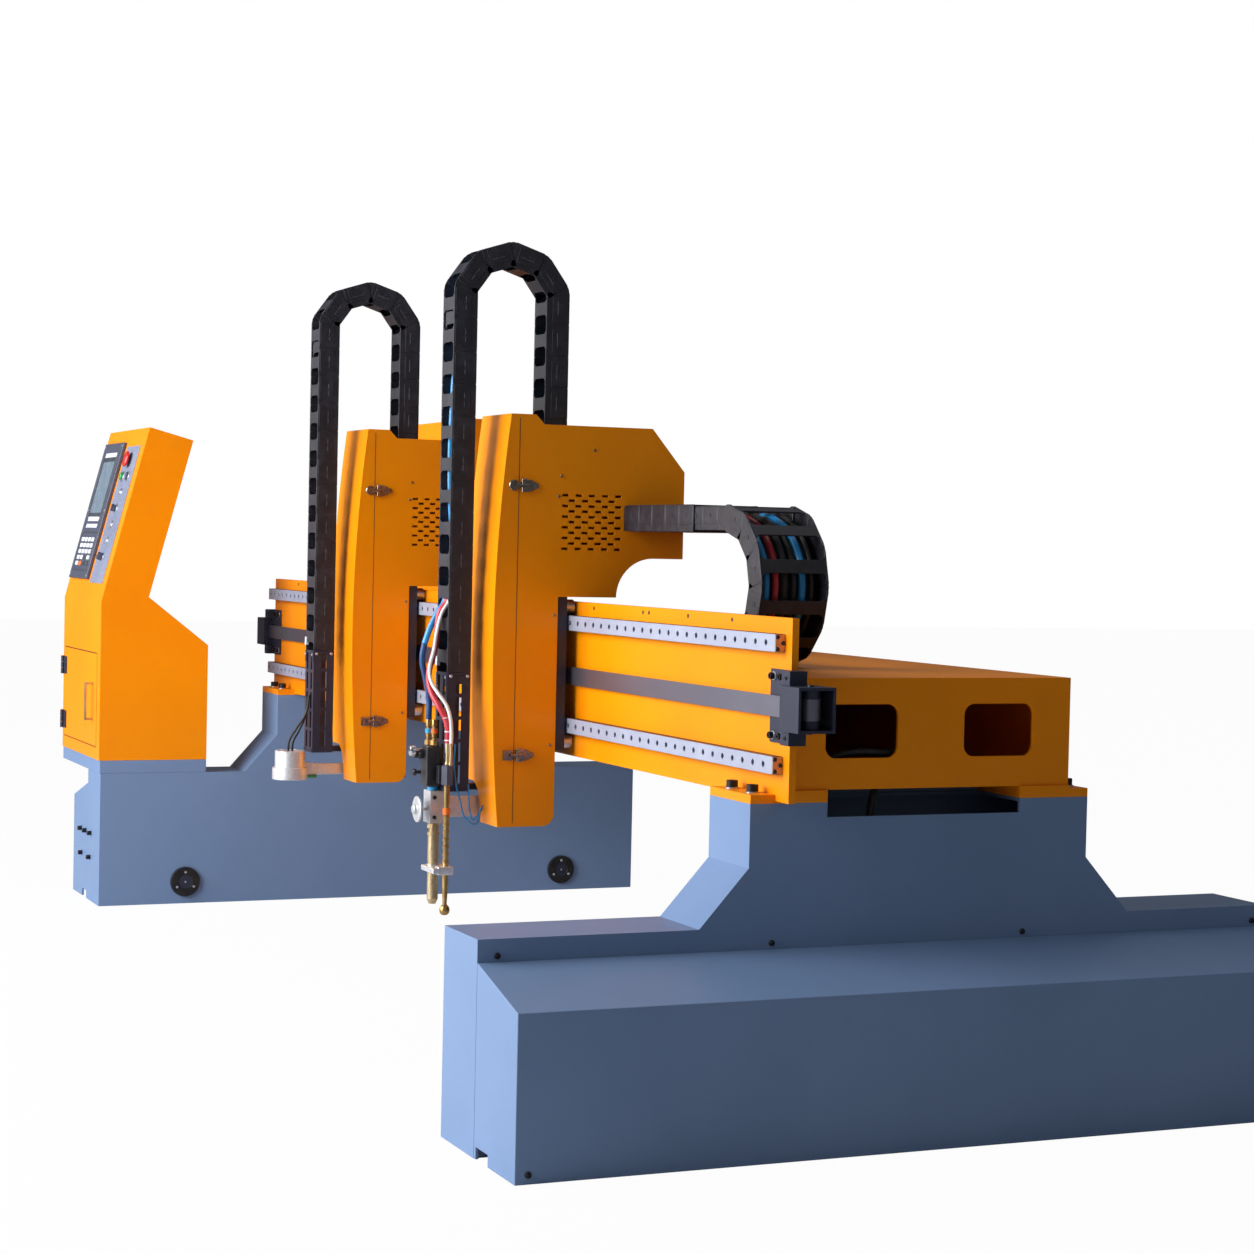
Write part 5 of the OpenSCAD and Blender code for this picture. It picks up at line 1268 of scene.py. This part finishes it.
def buildTorch():
    barrel = [torchPart(name) for name in ("barrel", "barrelNut", "barrelCollar")]
    fitJoined("torchBarrel", barrel, *brassPart, "paleGold", ["torch"], 35)
    i = igniter
    rings = list(i["ball"])
    for index in range(i["ribs"]):
        rings += [(radius, i["ribsFrom"] + i["ribStep"] * index + z) for radius, z in i["rib"]]
    tube = turned("igniterTube", rings + i["end"], at(igniterX, igniterY, igniterTip), sides=20)
    fitPiece(tube, *brassPart, "brass", smooth=35)
    fitPiece(torchPart("igniterBand"), *hose, "orangeKey")
    bars = [torchBlock("torchCrossbar"), torchBlock("crossbarJaw")]
    fitJoined("torchCrossbarBlock", bars, "near_lift", "aluminium", "aluminium", smooth=40)
    for x, y, radius in ((torchX, torchY, 14), (igniterX, igniterY, 8.4)):
        rings = [(radius, 0), (radius + 1.8, 0.6), (radius + 1.8, 3), (radius, 3.6)]
        ring = turned("barRing" + str(x), rings, at(x, y, barZ + 13.8))
        fitPiece(ring, "near_lift", "aluminium", "groundSteel")
    knob = [torchPart("clampKnobBody"), torchPart("clampKnobStem")]
    fitJoined("clampKnobTurned", knob, "clamp_knob", "ground_steel", "aluminium", ["clamp_knob"], 30)
    s = clampScrews
    screws = [turned("clampScrew", s["rings"], at(s["x"], s["y"], z), alongX, 14) for z in s["z"]]
    fitJoined("clampScrews", screws, *brightPart, "boltBlack")


buildTorchHoses()
buildValves()
buildTorch()
print("torch fitted")

# far head: round tool holder with its wires
holder = {
    "x": -459, "y": -377, "z": (542, 577),
    "base": [(25.4, 0), (49.6, 0), (51, 1.4), (51, 33.6), (49.6, 35), (43, 35.2)],
    "tier": [(44, 0), (44, 46.6), (42.4, 48.8), (33, 48.8), (32, 47.6), (16, 47.6)],
    "arm": (-493, -481, -338, -98.5, 552, 584, 2), "foot": (-497, -477, -346, -300, 549, 587, 3),
    "plug": (-488, -470, -318, -290, 543, 552, 2),
    "screw": [(4, 0), (4, 1.2), (3.4, 1.8), (2, 1.8), (1.8, 0.8)],
    "screwCircle": 39, "screwZ": 625.2, "screwAngles": (20, 80, 140, 200, 260, 320),
    "wires": [[(-444, -326.7, 790), (-446, -335, 735), (-450, -362, 690), (-452, -382, 655),
               (-454, -384, 624)],
              [(-464, -326.7, 780), (-466, -333, 722), (-464, -352, 680), (-462, -368, 650),
               (-461, -370, 624)]],
}


def buildHolder():
    h = holder
    for index, route in enumerate(h["wires"]):
        stands = ["tool_wires"] if index == 0 else ()
        fitHose(runTube("toolWire" + str(index), route, 3.4), "far_lift", "blackRubber", stands)
    low, high = h["z"]
    parts = [turned("holderBase", h["base"], at(h["x"], h["y"], low), sides=64),
             turned("holderTier", h["tier"], at(h["x"], h["y"], high), sides=64),
             softBox("holderArm", *h["arm"]), softBox("holderFoot", *h["foot"])]
    fitJoined("holderBody", parts, "far_lift", "aluminium", "aluminium", ["magnet_holder"], 35)
    screws = []
    for turn in map(math.radians, h["screwAngles"]):
        x, y = h["x"] + h["screwCircle"] * math.cos(turn), h["y"] + h["screwCircle"] * math.sin(turn)
        screws.append(turned("holderScrew", h["screw"], at(x, y, h["screwZ"]), sides=12))
    fitJoined("holderScrews", screws, "far_lift", "ground_steel", "groundSteel")
    fitPiece(softBox("holderPlug", *h["plug"]), "far_lift", "green_plastic", "greenPlastic")


# cables in the beam's end window and in the well below it: radius, then route
beamCables = {
    "windowCable": (8, [(1500, 200, 749.3), (1640, 195, 749.3), (1710, 183, 751), (1780, 165, 757),
                        (1870, 150, 790), (1895, 200, 808), (1900, 300, 808), (1900, 400, 812),
                        (1898, 480, 828)]),
    "secondCable": (6, [(1500, 240, 747.3), (1660, 235, 747.3), (1730, 224, 749), (1800, 205, 755),
                        (1885, 205, 782), (1905, 280, 790), (1908, 380, 796), (1906, 455, 806)]),
    "wellCable": (8, [(1500, 420, 749.3), (1640, 400, 749.3), (1780, 330, 749.5), (1815, 308, 749.5),
                      (1852, 288, 736), (1868, 270, 690), (1868, 262, 600), (1868, 260, 500)]),
}

# strips between the carriages' inner edges and the beam
packing = {"x": (1738.5, 1762), "y": (127, 605), "z": (706.9, 733.1)}

# a loom that lies in the top of the far pedestal, behind its window
loom = {"x": -1846, "spread": 9, "z": (688, 699, 711, 722), "radius": 6.4,
        "path": ((0, 318, 0), (-3, 400, -2), (4, 480, 1), (0, 607, -1))}


def buildBeamCables():
    for index, (label, (radius, route)) in enumerate(beamCables.items()):
        stands = ["beam_cables"] if index == 0 else ()
        fitHose(runTube(label, route, radius, 12), "frame", "blackRubber", stands)
    for side in (1, -1):
        x0, x1 = sorted(side * x for x in packing["x"])
        strip = softBox("packingStrip" + str(side), x0, x1, *packing["y"], *packing["z"], 1)
        fitPiece(strip, "frame", "blue_paint", "bluePaint")
    cables = []
    for index, z in enumerate(loom["z"]):
        x = loom["x"] - loom["spread"] * (index % 2)
        route = [(x + dx, y, z + dz) for dx, y, dz in loom["path"]]
        cables.append(runTube("loomCable", route, loom["radius"]))
    fitJoined("farPedestalLoom", cables, "frame", "black_rubber", "blackRubber")


buildHolder()
buildBeamCables()
print("holder and cables fitted")

# slotted brackets under the lift chains: bolted ears, screws and a small clip
brackets = {
    "x": -5, "half": 42, "y": (-323, -261), "earWide": 12,
    "earIn": (1.5, 13.5), "earZ": ((886, 918), (625, 634)), "earScrewAt": (6, 908),
    "flangeZ": ((913, 919), (623, 627)), "sideScrewIn": 9, "sideScrewZ": 911, "clipZ": (934, 958),
    "earScrew": [(4.2, 0), (4.2, 2), (3.6, 2.8), (2, 2.8), (1.8, 1.6)],
    "sideScrew": [(4.4, 0), (4.4, 2), (3.8, 2.8), (2, 2.8), (1.8, 1.6)],
}


def buildBracketParts(side):
    b = brackets
    centre = chains["headX"][side] + b["x"]
    left, right = centre - b["half"], centre + b["half"]
    near, far = b["y"]
    ears, screws = [], []
    screwIn, screwZ = b["earScrewAt"]
    for x in (left + b["earIn"][0], right - b["earIn"][1]):
        for low, high in b["earZ"]:
            ears.append(softBox("ear", x, x + b["earWide"], near - 2, near + 1, low, high, 1))
        screws.append(turned("earScrew", b["earScrew"], at(x + screwIn, near - 1.8, screwZ), front, 12))
    for low, high in b["flangeZ"]:
        ears.append(softBox("flange", right - 1, right + 1.6, near + 2, far - 2, low, high, 0.8))
    for y in (near + b["sideScrewIn"], far - b["sideScrewIn"]):
        place = at(right + 1.2, y, b["sideScrewZ"])
        screws.append(turned("sideScrew", b["sideScrew"], place, alongX, 12))
    lift = side + "_lift"
    fitJoined(side + "_bracket_ears", ears, lift, "dark_steel", "darkSteel", smooth=40)
    fitJoined(side + "_bracket_screws", screws, lift, "ground_steel", "groundSteel")
    clip = softBox(side + "_chain_clip", left - 1, left + 12, near - 3, near + 6, *b["clipZ"], 1.2)
    fitPiece(clip, lift, "aluminium", "paleLabel")


for side in ("near", "far"):
    buildBracketParts(side)

# control box behind the beam: door, locks, hinges, louvres, corner screws and a bare plate
box = {
    "x": (-1450, -817), "y": (300, 550), "z": (973, 1635), "door": 568,
    "panelIn": (46, 70, 60), "panelY": (-1, 2.4), "panelInset": (6, 1.4), "lockIn": (26, 160),
    "lock": [(13, 0), (13, 2.5), (11.5, 4), (5, 4), (4.6, 2.6)], "slot": (2, 2, 4.6, 6),
    "hinge": [(6, 0), (7, 1), (7, 31), (6, 32)], "hingeEnds": (-34, 2), "hingeOut": (0.5, 9),
    "louvres": 9, "louvreStep": 17, "louvreHigh": 8, "louvreOut": (0.6, 3.4), "louvreIn": 60,
    "louvreUp": (96, 412), "plateX": (-1210, -1070), "plateY": (0.8, 2.8), "plateDown": (190, 130),
    "screw": [(6, 0), (6, 1.6), (4.6, 3), (2.4, 3), (2.2, 1.8)], "screwIn": 16, "screwSunk": 0.4,
}


def buildControlBox():
    b = box
    (x0, x1), (y0, y1), (z0, z1), face = b["x"], b["y"], b["z"], b["door"]
    aside, below, above = b["panelIn"]
    back, out = (face + step for step in b["panelY"])
    panels = softBox("boxDoorPanel", x0 + aside, x1 - aside, back, out, z0 + below, z1 - above, 2)
    sinkFace(panels, (0, 1, 0), *b["panelInset"])
    fitPiece(panels, "frame", "orange_paint", "orangePaint", smooth=40)
    locks, hinges, louvres = [], [], []
    lockX, lockZ = b["lockIn"]
    half, low, high, tall = b["slot"]
    hingeX, hingeY = b["hingeOut"]
    for z in (z0 + lockZ, z1 - lockZ):
        x = x0 + lockX
        locks.append(turned("doorLock", b["lock"], at(x, face - 0.5, z), (0, 1, 0), 28))
        locks.append(softBox("lockSlot", x - half, x + half, face + low, face + high,
                             z - tall, z + tall, 0.4))
        for end in b["hingeEnds"]:
            hinges.append(turned("boxHinge", b["hinge"], at(x1 + hingeX, face - hingeY, z + end), sides=16))
    (sunk, out), deep, (up0, up1) = b["louvreOut"], b["louvreIn"], b["louvreUp"]
    for left, right, up in ((x1 - sunk, x1 + out, up0), (x0 - out, x0 + sunk, up1)):
        for index in range(b["louvres"]):
            z = z0 + up + index * b["louvreStep"]
            slat = softBox("louvre", left, right, y0 + deep, y1 - deep, z, z + b["louvreHigh"], 1.6)
            louvres.append(slat)
    fitJoined("controlBoxBright", locks, "frame", "ground_steel", "chrome", smooth=40)
    fitJoined("controlBoxLouvres", louvres, "frame", "orange_paint", "orangePaint", smooth=40)
    fitJoined("controlBoxHinges", hinges, "frame", "dark_steel", "darkSteel", smooth=40)
    (back, out), (low, high) = (face + step for step in b["plateY"]), (z1 - down for down in b["plateDown"])
    plate = softBox("boxPlate", *b["plateX"], back, out, low, high, 1)
    fitPiece(plate, "frame", "dark_plastic", "paleLabel")
    inset = b["screwIn"]
    screws = [turned("boxScrew", b["screw"], at(x, y0 + b["screwSunk"], z), front, 14)
              for x in (x0 + inset, x1 - inset) for z in (z0 + inset, z1 - inset)]
    fitJoined("controlBoxScrews", screws, "frame", "ground_steel", "groundSteel")


buildControlBox()
print("control box dressed")
